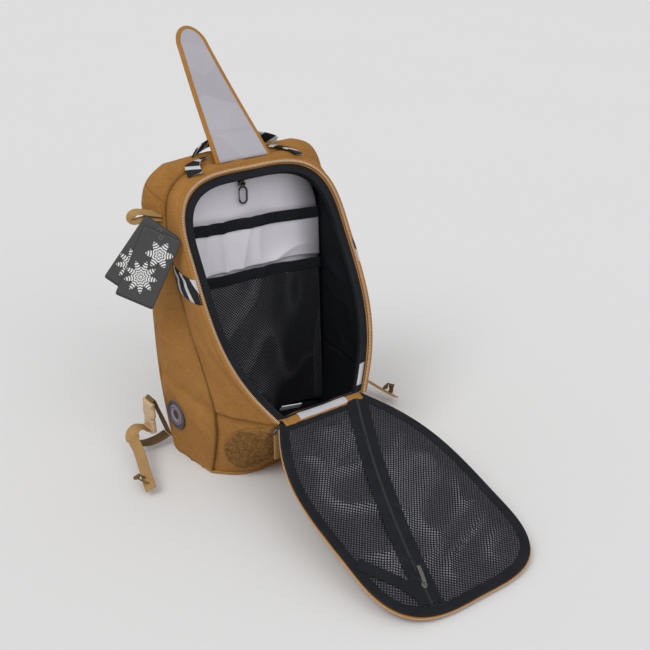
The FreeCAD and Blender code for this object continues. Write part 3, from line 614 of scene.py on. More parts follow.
def shade_to_colour(tree, shader, parts, colours, rough, height, strength, distance, edge=0.22):
    """Adds weighted patterns into one shade, which picks the colour and the roughness; a height
    bumps the surface."""
    total = 0.5 - 0.5 * sum(weight for _, weight in parts)
    for socket, weight in parts:
        total = maths(tree, "MULTIPLY_ADD", socket, weight, total)
    # The wear value: painted shade on cloth, edge wear on moulded blocks, weighed by edge.
    shade_and_wear = node(tree, "ShaderNodeAttribute", attribute_name="wear").outputs["Fac"]
    total = maths(tree, "MULTIPLY_ADD", shade_and_wear, edge, total)
    coloured(tree, shader, total, [(0.0, colours[0]), (1.0, colours[2]), (0.5, colours[1])])
    surfaced(tree, shader, total, rough, height, strength, distance)


def tones(colour, dark, light):
    """Dark, middle and light tone of a colour."""
    base = np.array(colour[:3])
    return tuple(base * dark), tuple(base), tuple(np.minimum(base * light + 0.004, 1))


def woven(name, colour, pitch, dark=0.55, light=1.45, weave=0.35, mottle=0.5, rough=(0.92, 0.7), bump=0.5,
          gloss=0.25, edge=0.22):
    """Woven cloth: plain weave, slubs along the yarn and slow mottling."""
    material, tree, shader = new_material(name, gloss=gloss)
    cloth = plain_weave(tree, pitch)
    parts = [(cloth, weave), (noise(tree, 9.0, 4.0), mottle), (noise(tree, 420.0, 2.0), 0.75),
             (noise(tree, 60.0, 3.0, (1, 1, 5)), 0.25)]
    shade_to_colour(tree, shader, parts, tones(colour, dark, light), rough, cloth, bump, pitch * 0.35, edge)
    return material


def ribbed(name, colour, pitch, dark=0.5, light=1.6, rough=(0.9, 0.65), bump=0.6, gloss=0.2):
    """Ribbed tape or webbing: ridges along its run, crossed by a finer yarn."""
    material, tree, shader = new_material(name, gloss=gloss)
    _, u, v = uv_parts(tree)
    rib = ridges(tree, u, pitch)
    yarn = ridges(tree, v, pitch * 1.7)
    both = maths(tree, "MULTIPLY_ADD", yarn, 0.5, maths(tree, "MULTIPLY", rib, 0.7))
    parts = [(rib, 0.4), (yarn, 0.25), (noise(tree, 25.0), 0.4), (noise(tree, 420.0), 0.3)]
    shade_to_colour(tree, shader, parts, tones(colour, dark, light), rough, both, bump, pitch * 0.3)
    return material


def moulded(name, colour, rough=(0.5, 0.32), dark=0.75, light=1.3, bump=0.15, coat=0.0):
    """Moulded plastic: fine grain, faint flow marks and scuffs."""
    material, tree, shader = new_material(name, coat=coat)
    grain = noise(tree, 900.0, 2.0)
    parts = [(noise(tree, 14.0, 4.0), 0.5), (grain, 0.3), (noise(tree, 60.0, 5.0, (1, 1, 6)), 0.35)]
    shade_to_colour(tree, shader, parts, tones(colour, dark, light), rough, grain, bump, 0.0002)
    return material


def striped(name, black):
    """Black webbing with slanting pale bars: the bar shows where the slanted distance, cut into
    periods, is in its first third."""
    material, tree, shader = new_material(name, gloss=0.2)
    _, u, v = uv_parts(tree)
    slant = maths(tree, "MULTIPLY_ADD", v, 0.45, u)
    share = maths(tree, "FRACT", maths(tree, "MULTIPLY_ADD", slant, 1 / 0.031, 40.3))
    bar = maths(tree, "LESS_THAN", share, 0.34)
    rib = ridges(tree, u, 0.0016)
    fuzz = noise(tree, 500.0)
    total = maths(tree, "MULTIPLY_ADD", rib, 0.16, maths(tree, "MULTIPLY", bar, 0.72))
    total = maths(tree, "MULTIPLY_ADD", fuzz, 0.12, total)
    coloured(tree, shader, total, [(0.05, [x * 0.6 for x in black]), (0.95, (0.62, 0.62, 0.63)),
                                   (0.30, [x * 1.8 for x in black]), (0.72, (0.42, 0.42, 0.43))])
    surfaced(tree, shader, rib, (0.88, 0.66), rib, 0.6, 0.0005)
    return material


def printed_card(name):
    """Matt black card with a pale ornament of rings and petals, made from the distance and the
    angle about two centres."""
    material, tree, shader = new_material(name)
    _, u, v = uv_parts(tree)
    ink = None
    for x, y, size, petals in ((0.008, 0.024, 0.021, 6), (-0.005, -0.018, 0.025, 9)):
        dx, dy = maths(tree, "SUBTRACT", u, x), maths(tree, "SUBTRACT", v, y)
        far = maths(tree, "SQRT", maths(tree, "ADD", maths(tree, "MULTIPLY", dx, dx),
                                        maths(tree, "MULTIPLY", dy, dy)))
        angle = maths(tree, "ARCTAN2", dy, dx)
        leaf = maths(tree, "SINE", maths(tree, "MULTIPLY", angle, float(petals)))
        reach = maths(tree, "MULTIPLY_ADD", leaf, size * 0.22, size * 0.78)
        within = maths(tree, "LESS_THAN", far, reach)
        rings = maths(tree, "MULTIPLY", far, 1500.0)
        ring = maths(tree, "SINE", maths(tree, "MULTIPLY_ADD", leaf, 1.6, rings))
        line = maths(tree, "GREATER_THAN", ring, -0.15)
        mark = maths(tree, "MULTIPLY", within, line)
        ink = mark if ink is None else maths(tree, "MAXIMUM", ink, mark)
    paper = noise(tree, 260.0, 4.0)
    total = maths(tree, "MULTIPLY_ADD", ink, 0.8, maths(tree, "MULTIPLY", paper, 0.2))
    coloured(tree, shader, total, [(0.0, (0.016, 0.016, 0.016)), (1.0, (0.74, 0.74, 0.73)),
                                   (0.25, (0.034, 0.033, 0.032))])
    surfaced(tree, shader, paper, (0.62, 0.42), paper, 0.15, 0.0001)
    return material


def soft_lining(name, colour, patches=False, deep=False, rough=(0.75, 0.45)):
    """Smooth nylon lining: a very fine weave, soft streaks, and, if asked, faint tone patches or a
    shade that the cloth's own wear value can take down to near black."""
    material, tree, shader = new_material(name, gloss=0.4)
    cloth = plain_weave(tree, 0.0006)
    parts = [(cloth, 0.08), (noise(tree, 14.0, 2.0, (1, 1, 0.4)), 0.3), (noise(tree, 700.0), 0.12)]
    if patches:
        where = node(tree, "ShaderNodeTexCoord").outputs["Object"]
        cells = node(tree, "ShaderNodeTexVoronoi", {"Vector": where, "Scale": 13.0, "Randomness": 1.0})
        tone = node(tree, "ShaderNodeSeparateXYZ", {0: cells.outputs["Color"]}).outputs[0]
        parts.append((tone, 0.20))
    # deep: a near-black dark end and a strong weight for the painted shade in wear.
    dark, edge = (0.06, 0.5) if deep else (0.66, 0.22)
    shade_to_colour(tree, shader, parts, tones(colour, dark, 1.25), rough, cloth, 0.12, 0.0002, edge)
    return material


def loop_pile(name, colour):
    """Fuzzy loop pile: clumped cells under fine noise."""
    material, tree, shader = new_material(name, gloss=0.15)
    where = node(tree, "ShaderNodeTexCoord").outputs["Object"]
    cells = node(tree, "ShaderNodeTexVoronoi", {"Vector": where, "Scale": 420.0}).outputs["Distance"]
    clumps = noise(tree, 160.0, 5.0)
    parts = [(cells, 0.5), (clumps, 0.9), (noise(tree, 30.0), 0.3)]
    shade_to_colour(tree, shader, parts, tones(colour, 0.35, 1.7), (0.98, 0.85), clumps, 0.9, 0.0012)
    return material


FINISHES = {}


def finishes():
    """Every finish by its own name, made once from the scene's colours."""
    if FINISHES:
        return FINISHES
    c = bpy.context.scene.day_pack_colours
    shell, lining, black = c.shell[:], c.lining[:], c.black[:]
    FINISHES.update({
        # Negative edge weight: the seam values darken the shell as painted shade along its sewn edges.
        "shell": woven("shell_canvas", shell, 0.0013, edge=-0.25),
        # Piping at half the shell's tone: the dark seam line is painted shadow.
        "piping": ribbed("shell_piping", [x * 0.5 for x in shell], 0.0012),
        "shell_trim": ribbed("shell_tape", [x * 1.05 for x in shell], 0.0012),
        "thread": woven("tan_thread", [x * 1.25 for x in shell], 0.0005),
        "teeth": moulded("tan_zip_coil", (0.62, 0.42, 0.26), dark=0.7, light=1.3, rough=(0.5, 0.3)),
        "zip_dark": ribbed("brown_zip_tape", [x * 0.22 for x in shell], 0.0010),
        "lining": soft_lining("pale_lining", [x * 1.9 for x in lining], deep=True),
        "lid_lining": soft_lining("lid_lining_cloth", [x * 1.35 for x in lining], deep=True),
        "patch_lining": soft_lining("tongue_lining_cloth", [x * 0.88 for x in lining], patches=True),
        "black_tape": ribbed("black_binding", black, 0.0011, light=2.2, gloss=0.1),
        "black_cloth": woven("black_inner_cloth", [x * 0.8 for x in black], 0.0010, light=2.2, gloss=0.08),
        "backing": soft_lining("smoke_backing", (0.80, 0.80, 0.82), deep=True),
        "net": woven("black_net_thread", [x * 1.3 for x in black], 0.0006, light=2.4, gloss=0.15),
        "black_coil": moulded("black_zip_coil", (0.02, 0.02, 0.022), rough=(0.45, 0.3)),
        "black_thread": woven("black_thread", (0.03, 0.03, 0.032), 0.0005),
        "label": soft_lining("blank_label_satin", (0.45, 0.445, 0.47)),
        "metal": moulded("dark_zip_metal", (0.10, 0.095, 0.09), rough=(0.38, 0.22), coat=0.2),
        "clip": moulded("black_clip_plastic", (0.022, 0.022, 0.024), rough=(0.35, 0.18), coat=0.3),
        "port_dark": moulded("port_slate", (0.062, 0.053, 0.070), rough=(0.6, 0.45)),
        "port_pale": moulded("port_pale_ring", (0.22, 0.195, 0.235), rough=(0.55, 0.4)),
        "port_core": moulded("port_core", (0.055, 0.026, 0.020), rough=(0.6, 0.45)),
        "pile": loop_pile("tan_loop_pile", (0.235, 0.122, 0.040)),
        "striped": striped("striped_webbing_cloth", black),
        "card": printed_card("printed_card"),
        "plastic": moulded("sand_buckle_plastic", c.plastic[:], dark=0.6, light=1.35),
        "webbing": ribbed("tan_webbing", c.webbing[:], 0.0017),
        # Painted shade: the tan webbing at 0.42 of its tone for the lower straps and anchors that lie in shade.
        "webbing_dark": ribbed("brown_webbing", [x * 0.42 for x in c.webbing[:]], 0.0017),
        "air_mesh": woven("tan_air_mesh", [x * 0.8 for x in shell], 0.0032, weave=0.9, bump=0.9),
    })
    return FINISHES


# ---------------------------------------------------------------- shell of the pack

CORE = (0.0, 0.02, 0.24)
HINGE_INDEX = 1
GUSSET_COUNT = 241
LOW_COUNT = 31


def full_arch(points):
    """An arch sampled from base to base; the samples between the two hinge levels number GUSSET_COUNT."""
    low = smooth_curve(points, LOW_COUNT, 0, HINGE_INDEX)
    high = smooth_curve(points, GUSSET_COUNT, HINGE_INDEX, -1 - HINGE_INDEX)
    end = smooth_curve(points, LOW_COUNT, -1 - HINGE_INDEX, -1)
    return np.concatenate([low[:-1], high, end[1:]])


def seam_depth(v, width=0.05):
    """Panels dive in by 3.6 mm where they are sewn: a short exponential at both edges."""
    return -0.0036 * (np.exp(-v / width) + np.exp(-(1 - v) / width))


def calm(points, centre, reach):
    """One far from a fitting, near nothing under it, so that the cloth lies flat where it is sewn."""
    far = np.sqrt((((points - np.array(centre)) / np.array(reach)) ** 2).sum(-1))
    return 1 - 0.92 * np.exp(-far ** 4)


def painted_seam_shade(v, width=0.04):
    """Wear along both sewn edges: an exponential of the share across."""
    return np.exp(-v / width) + np.exp(-(1 - v) / width)


def lower_ring(level, inset=0.0):
    """Outline of the lower front at a share of the hinge height: three straight runs whose corners
    are rounded by a moving average that fades out only at the hinge."""
    half = np.array([0.142 + 0.006 * level - inset, -0.028 - 0.029 * level])
    front = np.array([0.104 - 0.014 * level - inset, -0.068 - 0.079 * level + inset])
    knots = np.array([half, front, front * [-1, 1], half * [-1, 1]])
    counts = (25, 81, 25)
    runs = [np.linspace(knots[i], knots[i + 1], n) for i, n in enumerate(counts)]
    ring = np.concatenate([runs[0][:-1], runs[1][:-1], runs[2]])
    window = 39
    padded_ring = np.pad(ring, ((window // 2, window // 2), (0, 0)), mode="reflect", reflect_type="odd")
    kernel = np.hanning(window + 2)[1:-1]
    kernel = kernel / kernel.sum()
    soft = np.stack([np.convolve(padded_ring[:, i], kernel, "valid") for i in range(2)], 1)
    share = 1 - level ** 4
    ring = ring * (1 - share) + soft * share
    return np.column_stack([ring, np.full(len(ring), level * HINGE_UP)])


def lower_front():
    """The lower front's cloth as a grid (base to hinge, right to left), its normals and its wear."""
    size = bpy.context.scene.day_pack_sizes
    rows = np.linspace(0, 1, 45)
    low = np.stack([lower_ring(level) for level in rows])
    out = grid_normals(low, (0, 0, 0.07))
    across = np.linspace(0, 1, low.shape[1])[None]
    swell = 0.004 * np.sin(math.pi * rows[:, None]) ** 0.8 * np.sin(math.pi * across) ** 0.4
    swell = swell + seam_depth(rows[:, None], 0.04) + seam_depth(across, 0.02)
    swell = swell + size.crumple * 0.9 * folds(low, 0.07, 29) * np.sin(math.pi * across) ** 0.5
    for side in (-1, 1):
        swell = swell + crease(low, (side * 0.142, -0.052, 0.128), (side * 0.10, -0.122, 0.118), 0.007, 0.003)
    low = low + out * swell[..., None]
    return low, grid_normals(low, (0, 0, 0.07)), np.broadcast_to(painted_seam_shade(rows[:, None]), low.shape[:2])


def sampled(grid, row, column):
    """A grid's value between its points, by bilinear interpolation."""
    row, column = np.clip(row, 0, len(grid) - 1.001), np.clip(column, 0, grid.shape[1] - 1.001)
    i, j = row.astype(int), column.astype(int)
    a, b = (row - i)[..., None], (column - j)[..., None]
    return ((grid[i, j] * (1 - a) + grid[i + 1, j] * a) * (1 - b)
            + (grid[i, j + 1] * (1 - a) + grid[i + 1, j + 1] * a) * b)


def gusset_cloth():
    """The front gusset's cloth as a grid (rim to seam), its outward normals and its wear."""
    size = bpy.context.scene.day_pack_sizes
    upper = slice(LOW_COUNT - 1, LOW_COUNT - 1 + GUSSET_COUNT)
    gusset = ruled(rim(RIM_OFFSET, 0.0, GUSSET_COUNT), full_arch(seam_arch())[upper], 41)
    v = np.linspace(0, 1, 41)[None, :]
    swell = size.bulge * 0.9 * np.sin(math.pi * v) ** 0.8 + seam_depth(v, 0.035)
    swell = swell + size.crumple * 0.7 * folds(gusset, 0.085, 3) * np.sin(math.pi * v) ** 0.5
    for side in (-1, 1):
        turn = np.array([side, 1, 1])
        swell = swell + crease(gusset, (0.150, -0.02, 0.345) * turn, (0.150, 0.02, 0.34) * turn, 0.006, 0.002)
        swell = swell + crease(gusset, (0.125, -0.125, 0.16) * turn, (0.149, -0.035, 0.26) * turn, 0.010, 0.0035)
    gusset = gusset + grid_normals(gusset, CORE) * swell[..., None]
    return gusset, grid_normals(gusset, CORE), np.broadcast_to(painted_seam_shade(v), gusset.shape[:2])


def build_shell():
    size, f = bpy.context.scene.day_pack_sizes, finishes()
    seam = full_arch(seam_arch())
    back = full_arch(back_arch())
    upper = slice(LOW_COUNT - 1, LOW_COUNT - 1 + GUSSET_COUNT)

    gusset, _, wear = gusset_cloth()
    front = rim(RIM_OFFSET, 0.0, GUSSET_COUNT)
    finish(sheet_piece("front_gusset_skin", gusset, 0.0012, wear), f["shell"],
           nodes=["front_gusset"])

    body = ruled(seam, back, 49)
    v = np.linspace(0, 1, 49)[None, :]
    swell = size.bulge * 2.1 * np.sin(math.pi * v ** 1.5) ** 0.7 + seam_depth(v, 0.03)
    swell = swell * (0.45 + 0.55 * ease((body[..., 2] - 0.02) / 0.10))
    shoulder = ((np.abs(body[..., 0]) - 0.135) / 0.045) ** 2 + ((body[..., 2] - 0.455) / 0.05) ** 2
    loose = np.sin(math.pi * v) ** 0.5
    swell = swell + 0.007 * np.exp(-shoulder) * loose
    swell = swell + size.crumple * (folds(body, 0.11, 11) + 0.5 * folds(body, 0.05, 17)) * loose
    for side in (-1, 1):
        swell = swell + crease(body, (side * 0.155, 0.085, 0.15), (side * 0.150, -0.04, 0.128), 0.012, 0.004)
        swell = swell + crease(body, (side * 0.152, 0.03, 0.40), (side * 0.130, 0.09, 0.455), 0.012, 0.004)
        swell = swell + crease(body, (side * 0.154, 0.095, 0.31), (side * 0.152, 0.02, 0.27), 0.014, 0.003)
    swell = swell * calm(body, (-0.152, 0.057, 0.077), (0.04, 0.042, 0.042))
    body = body + grid_normals(body, CORE) * swell[..., None]
    wear = np.broadcast_to(painted_seam_shade(v), body.shape[:2])
    crown = LOW_COUNT + int(GUSSET_COUNT * 0.335)
    last = len(body)
    for name, part, nodes in (("side_skin_right", slice(0, crown + 1), ["side_panel_right"]),
                              ("crown_skin", slice(crown, last - crown), ["top_panel"]),
                              ("side_skin_left", slice(last - crown - 1, last), ["side_panel_left"])):
        finish(sheet_piece(name, body[part], 0.0012, wear[part]), f["shell"], nodes=nodes)

    low, _, wear = lower_front()
    finish(sheet_piece("lower_front_skin", low, 0.0012, wear), f["shell"],
           nodes=["lower_front_panel"])

    middle = len(back) // 2
    right, left = back[:middle + 1], back[::-1][:middle + 1]
    panel = ruled(right, left, 49)
    v = np.linspace(0, 1, 49)[None, :]
    inner = ease(v / 0.10) * ease((1 - v) / 0.10) * ease((0.488 - panel[..., 2]) / 0.03)
    swell = 0.0008 * folds(panel, 0.12, 41) - (0.0095 * ease(panel[..., 2] / 0.07)) * inner
    panel = panel + np.array([0, 1.0, 0]) * swell[..., None]
    finish(sheet_piece("back_skin", panel, 0.0014), f["shell"], nodes=["back_panel"])

    ring = lower_ring(0.0)
    base_right = np.concatenate([[[0.150, BACK_FOOT, 0]], ring[:len(ring) // 2 + 1]])
    t = np.linspace(0, 1, 41)
    rows = np.stack([np.interp(t, np.linspace(0, 1, len(base_right)), base_right[:, i]) for i in range(3)], 1)
    base = ruled(rows, rows * [-1, 1, 1], 41)
    base[..., 2] = 0.0012 + 0.002 * ease(waves(base, 0.12, 5) * 0.3 + 0.5)
    finish(sheet_piece("base_skin", base, 0.0014), f["shell"], nodes=["base_panel"])

    # piping, darkened to half the shell's tone as a painted shadow line, and stitching along the seams
    piping = seam + unit(np.array(CORE) - seam) * 0.0012
    finish(swept("seam_piping", piping, round_profile(0.0016), unit(piping - np.array(CORE))),
           f["piping"])
    shift = unit(front - seam[upper]) * 0.007
    out = unit(seam[upper] - np.array(CORE)) * 0.0016
    finish(stitches("seam_stitching", seam[upper] + shift + out, out, size.stitch), f["thread"])
    welt = back + unit(np.array(CORE) - back) * 0.001
    finish(swept("back_piping", welt, round_profile(0.0024), unit(welt - np.array(CORE))),
           f["shell_trim"])
    foot = np.concatenate([[[0.150, BACK_FOOT, 0]], ring, [[-0.150, BACK_FOOT, 0]]]) + [0, 0, 0.0028]
    foot = even_steps(foot, 0.004)[0]
    finish(swept("base_piping", foot, round_profile(0.0026), (0, 0, 1)), f["shell_trim"])
    low_seam = low[-1, 4:-4] + [0, 0, -0.0005]
    finish(swept("hinge_level_seam", low_seam, round_profile(0.0012, 8), (0, 0, 1)),
           f["shell_trim"])


# ---------------------------------------------------------------- inside of the pack

BACK_ORIGIN = np.array([0, BACK_FOOT, 0])
BACK_TURN = turn_x(math.pi / 2 - math.atan2(BACK_LEAN, PACK_TOP))


def on_back(points):
    """Points in the back's own frame (x across, y up the back, z into the pack) in the object's frame."""
    return placed(points, BACK_TURN, BACK_ORIGIN)


def wall_curve(x, half, depth):
    """The soft back wall comes forward near the sides: depth times the fifth power of x over half."""
    return depth * np.abs(x / half) ** 5


def build_interior():
    size, f = bpy.context.scene.day_pack_sizes, finishes()
    seam = full_arch(seam_arch(0.0062))
    back = full_arch(back_arch(0.0066, 0.020))
    upper = slice(LOW_COUNT - 1, LOW_COUNT - 1 + GUSSET_COUNT)
    front = rim(-0.0004, -0.0012, GUSSET_COUNT)
    wall = np.concatenate([ruled(front, seam[upper], 25), ruled(seam[upper], back[upper], 25)[:, 1:]], 1)
    swell = 0.0011 * folds(wall, 0.06, 53) * np.sin(np.linspace(0, math.pi, wall.shape[1]))[None]
    wall = wall - grid_normals(wall, CORE) * (swell + 0.0012)[..., None]
    finish(sheet_piece("inner_wall_cloth", wall, 0.0008), f["black_cloth"])
    levels = np.linspace(0.05, 1.0, 17)
    low = np.stack([lower_ring(level, 0.0062) for level in levels])
    finish(sheet_piece("inner_lower_front", low, 0.0008), f["black_cloth"])
    for side, name in ((1, "right"), (-1, "left")):
        a = smooth_curve(seam_arch(0.0066), 17, 0, 1) * [side, 1, 1]
        b = smooth_curve(back_arch(0.0066, 0.020), 17, 0, 1) * [side, 1, 1]
        grid = ruled(a, b, 17)
        finish(sheet_piece("inner_lower_side_" + name, grid, 0.0008), f["black_cloth"])
    rows = np.linspace(-1, 1, 33)
    x, y = np.meshgrid(rows * 0.138, np.linspace(-0.055, 0.070, 25), indexing="ij")
    x = x * np.where(y < -0.02, 0.78 + 0.22 * ease((y + 0.06) / 0.04), 1)
    floor_cloth = np.stack([x, y, 0.0078 + 0.001 * folds(np.stack([x, y, 0 * x], -1), 0.07, 7)], -1)
    finish(sheet_piece("inner_floor_cloth", floor_cloth, 0.001), f["black_cloth"])

    def painted_side_shade(points):
        """The lining is soiled darker where it curves forward at the sides, mostly on the right."""
        x = points[..., 0]
        return -0.85 * ease((x - 0.095) / 0.05) - 0.25 * ease((-x - 0.125) / 0.02)

    half = LINING_HALF
    outline = np.array([[half, 0.012], [half, 0.20], [half, 0.36], [half - 0.004, 0.41],
                        [half - 0.022, 0.448], [half - 0.055, 0.472], [half - 0.10, 0.481], [0, 0.482]])
    side = smooth_curve(np.column_stack([outline, np.zeros(len(outline))]), 81)
    panel = ruled(side, side * [-1, 1, 1], 65)
    soft = 0.0022 * waves(panel * [1, 0.35, 1], 0.06, 61)
    panel[..., 2] = 0.0112 + wall_curve(panel[..., 0], half, 0.022) + soft * 0.6
    finish(sheet_piece("back_lining_cloth", on_back(panel), 0.001, painted_side_shade(panel)), f["lining"],
           nodes=["back_lining"])

    def pocket_face(x, y, low, high, depth, seed):
        """Billowing pocket: proud of the lining by a sine arch across, most at its open top, with folds."""
        across = np.cos(np.clip(x / POCKET_HALF, -1, 1) * math.pi / 2) ** 0.6
        up = ease((y - low) / (high - low))
        p = np.stack([x, y * 0.6, 0 * x], -1)
        sag = depth * across * (0.35 + 0.65 * up) + 0.0035 * folds(p, 0.09, seed) * across
        return 0.0150 + wall_curve(x, LINING_HALF, 0.026) + np.maximum(sag, -0.0006)

    def mesh_pocket_face(x, y):
        """The face of the big net pocket."""
        return pocket_face(x, y, MESH_POCKET_FOOT, MESH_POCKET_TOP, 0.014, 83)

    def droop(x):
        """Sag of a pocket's top edge: a parabola, deeper to the right, where the cloth is slack."""
        return -0.010 * (1 - (x / 0.143) ** 2) - 0.012 * ease((x - 0.02) / 0.12)

    across = np.linspace(-POCKET_HALF, POCKET_HALF, 97)
    x, y = np.meshgrid(across, np.linspace(MESH_POCKET_TOP, 0.392, 41), indexing="ij")
    y = y + droop(x) * ease((y - MESH_POCKET_TOP) / 0.09)
    z = pocket_face(x, y, MESH_POCKET_TOP, 0.40, 0.008, 71)
    face = np.stack([x, y, z], -1)
    finish(sheet_piece("slip_pocket_cloth", on_back(face), 0.0009, painted_side_shade(face)), f["lining"],
           nodes=["slip_pocket"])
    x = across
    for name, level, low, depth, seed, node_name in (
            ("slip_pocket_tape", 0.390, MESH_POCKET_TOP, 0.008, 71, "slip_pocket_binding"),
            ("mesh_pocket_tape", 0.299, MESH_POCKET_FOOT, 0.012, 83, "mesh_pocket_binding")):
        y = level + droop(x)
        z = pocket_face(x, y, low, level + 0.01, depth, seed) + 0.0016
        path = on_back(np.stack([x, y, z], 1))
        up = on_back([[0, 0, 1.0]])[0] - on_back([[0, 0, 0]])[0]
        finish(swept(name, path, band_profile(0.020, 0.0022, 0.0004), up), f["black_tape"],
               nodes=[node_name])
        for k, shift in enumerate((-0.0082, 0.0082)):
            edge = on_back(np.stack([x, y + shift, z + 0.0013], 1))
            finish(stitches("%s_stitch_%d" % (name, k), edge, up, size.stitch, width=0.0006),
                   f["black_thread"])
    x, y = np.meshgrid(np.linspace(-POCKET_HALF, POCKET_HALF, 101), np.linspace(MESH_POCKET_FOOT, 0.298, 101),
                       indexing="ij")
    y = y + droop(x) * ease((y - 0.15) / 0.15)
    rise = mesh_pocket_face(x, y) - 0.0160
    under = np.stack([x, y, np.maximum(rise - 0.0014, 0.0128 + wall_curve(x, LINING_HALF, 0.020))], -1)
    crest = folds(np.stack([x, y * 0.6, 0 * x], -1), 0.09, 83)
    # Painted shade: darker between the fold crests, towards the right where the side wall shades it, and towards
    # the pocket's foot.
    shade = 0.30 * crest - 1.1 * ease((x + 0.02) / 0.14) - 0.4 * ease((0.09 - y) / 0.09)
    finish(sheet_piece("mesh_pocket_backing", on_back(under), 0.0008, shade), f["backing"])

    def pocket_height(flat):
        return mesh_pocket_face(*flat.T)

    def pocket_inside(flat):
        """Within the pocket's sides, foot and drooping top edge."""
        x, y = flat[..., 0], flat[..., 1]
        return (np.abs(x) < POCKET_HALF - 0.001) & (y > MESH_POCKET_FOOT) & (y < 0.296 + droop(x))

    finish(net("mesh_pocket_net", BACK_TURN, BACK_ORIGIN, (-POCKET_HALF, 0.012), (POCKET_HALF, MESH_POCKET_TOP),
               size.pocket_net_pitch, pocket_inside, pocket_height), f["net"],
           nodes=["mesh_pocket"])

    build_key_clip(f)


def build_key_clip(f):
    """Key clip: a tape loop from the top lining, a swivel eye and a gated hook."""
    def here(points):
        return on_back(np.asarray(points, float) + [0.005, 0.432, 0.0155])

    up = BACK_TURN @ np.array([0, 0, 1.0])
    tape = here([[0, y, z] for y, z in ((0.040, -0.003), (0.030, -0.001), (0.020, 0.001), (0.012, 0.002))])
    finish(swept("key_tape_webbing", smooth_curve(tape, 24), band_profile(0.012, 0.0018), up),
           f["black_tape"], nodes=["key_tape"])
    loop = np.array([[-0.0070, 0.004], [-0.0045, 0.0085], [0.0, 0.010], [0.0045, 0.0085], [0.0072, 0.004],
                     [0.0074, -0.006], [0.0066, -0.014], [0.003, -0.0178], [-0.002, -0.0176],
                     [-0.0058, -0.0145], [-0.0068, -0.0118]])
    path = smooth_curve(here(np.column_stack([loop, np.full(len(loop), 0.0042)])), 90)
    finish(swept("key_hook_body", path, round_profile(0.0018, 12, 0.95), up), f["clip"],
           body="key_clip", nodes=["key_clip"])
    gate = here([[-0.0070, 0.0030, 0.0042], [-0.0074, -0.004, 0.0044], [-0.0070, -0.0112, 0.0042]])
    gate = smooth_curve(gate, 24)
    finish(swept("key_hook_gate", gate, round_profile(0.0013, 10), up), f["metal"],
           body="key_gate", nodes=["key_clip_gate"])
    a = circle(40)
    ring = here(np.stack([0.0052 * np.cos(a), 0.0145 + 0.0045 * np.sin(a), np.full(40, 0.0044)], 1))
    finish(swept("key_hook_swivel", ring, round_profile(0.0011, 8), up, closed=True), f["metal"],
           body="key_clip")


# ---------------------------------------------------------------- opening: zip tape, coil, binding, hinge

def build_opening():
    size, f = bpy.context.scene.day_pack_sizes, finishes()
    out = OPENING @ np.array([0, 0, 1.0])
    tape = np.stack([rim(o, lift) for o, lift in ((0.0100, -0.0010), (0.0090, 0.0004), (0.0065, 0.0008),
                                                  (0.0040, 0.0002), (0.0012, -0.0010), (-0.0008, -0.0016))], 1)
    finish(sheet_piece("main_zip_tape", tape, 0.0009), f["shell_trim"])
    coil = rim(0.0034, 0.0016, 601)
    finish(zip_coil("main_zip_coil", coil, out, size.tooth_pitch, 0.0052, 0.0022), f["teeth"],
           nodes=["opening_zip_teeth"])
    finish(swept("main_zip_cord", rim(0.0036, 0.0004, 361), band_profile(0.0054, 0.0010), out), f["zip_dark"])
    finish(stitches("main_zip_stitch_0", rim(0.0088, 0.0014, 601), out, size.stitch, width=0.0007),
           f["thread"])

    width = 0.0135
    line = rim(-0.0010 - width / 2, 0.0, 361)
    bottom = np.stack([np.linspace(line[-1, 0], line[0, 0], 62)[1:-1],
                       np.full(60, line[0, 1]), np.full(60, line[0, 2])], 1)
    loop = np.concatenate([line, bottom]) - out * 0.0030
    finish(swept("opening_binding_tape", loop, band_profile(width, 0.0024, 0.0008), out, closed=True),
           f["black_tape"], nodes=["opening_binding"])
    skirt = np.stack([rim(-0.0125, lift, 241) for lift in (-0.0040, -0.0100, -0.0160)], 1)
    finish(sheet_piece("opening_inner_tape", skirt, 0.0012), f["black_tape"])
    for k, offset in enumerate((-0.0028, -0.0122)):
        finish(stitches("opening_binding_stitch_%d" % k, rim(offset, -0.0010, 361), out, size.stitch,
                        width=0.0006), f["black_thread"])

    # hinge web: shell tape and a blank label that bend across the hinge line
    def web(half, count, lift, inner, outer):
        """Strip over the hinge line: a smooth run from inside the pack to the lid, as wide as asked."""
        lid = placed([[0, outer, -0.0002 - lift]], LID, HINGE)[0]
        line = smooth_curve([[0, HINGE[1] + inner, HINGE_UP - 0.0030 + lift],
                             [0, HINGE[1] + inner * 0.45, HINGE_UP + 0.0012 + lift],
                             [0, HINGE[1] - 0.001, HINGE_UP + 0.0016 + lift], lid], 29)
        x = np.linspace(-half, half, count)
        grid = line[:, None] + np.stack([x, 0 * x, 0 * x], 1)[None]
        grid[..., 2] += 0.0005 * waves(grid, 0.03, 91)
        return grid

    strip = sheet_piece("hinge_web", web(0.0765, 61, 0.0, 0.016, 0.012), 0.0012)
    strip.data.materials.append(f["shell"])
    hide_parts("hinge_strip")
    label = sheet_piece("hinge_label_satin", web(0.047, 41, 0.0012, 0.012, 0.009), 0.0007)
    label.data.materials.append(f["label"])
    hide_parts("hinge_label")
    for made in (strip, label):
        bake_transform(made)

    # a blank label along the inner edge, and a blank flap at the foot of the opening
    label = np.stack([rim(offset, -0.0012)[4:14] for offset in (-0.0040, -0.0135)], 1)
    finish(sheet_piece("opening_edge_label", label, 0.0008), f["label"])
    flap_top = np.linspace([-0.052, -0.110, 0.1345], [-0.016, -0.114, 0.1305], 21)
    flap = ruled(flap_top, flap_top + [0.004, 0.014, -0.016], 9)
    finish(sheet_piece("inner_care_flap", flap, 0.0010), f["backing"])
    build_main_sliders(f)


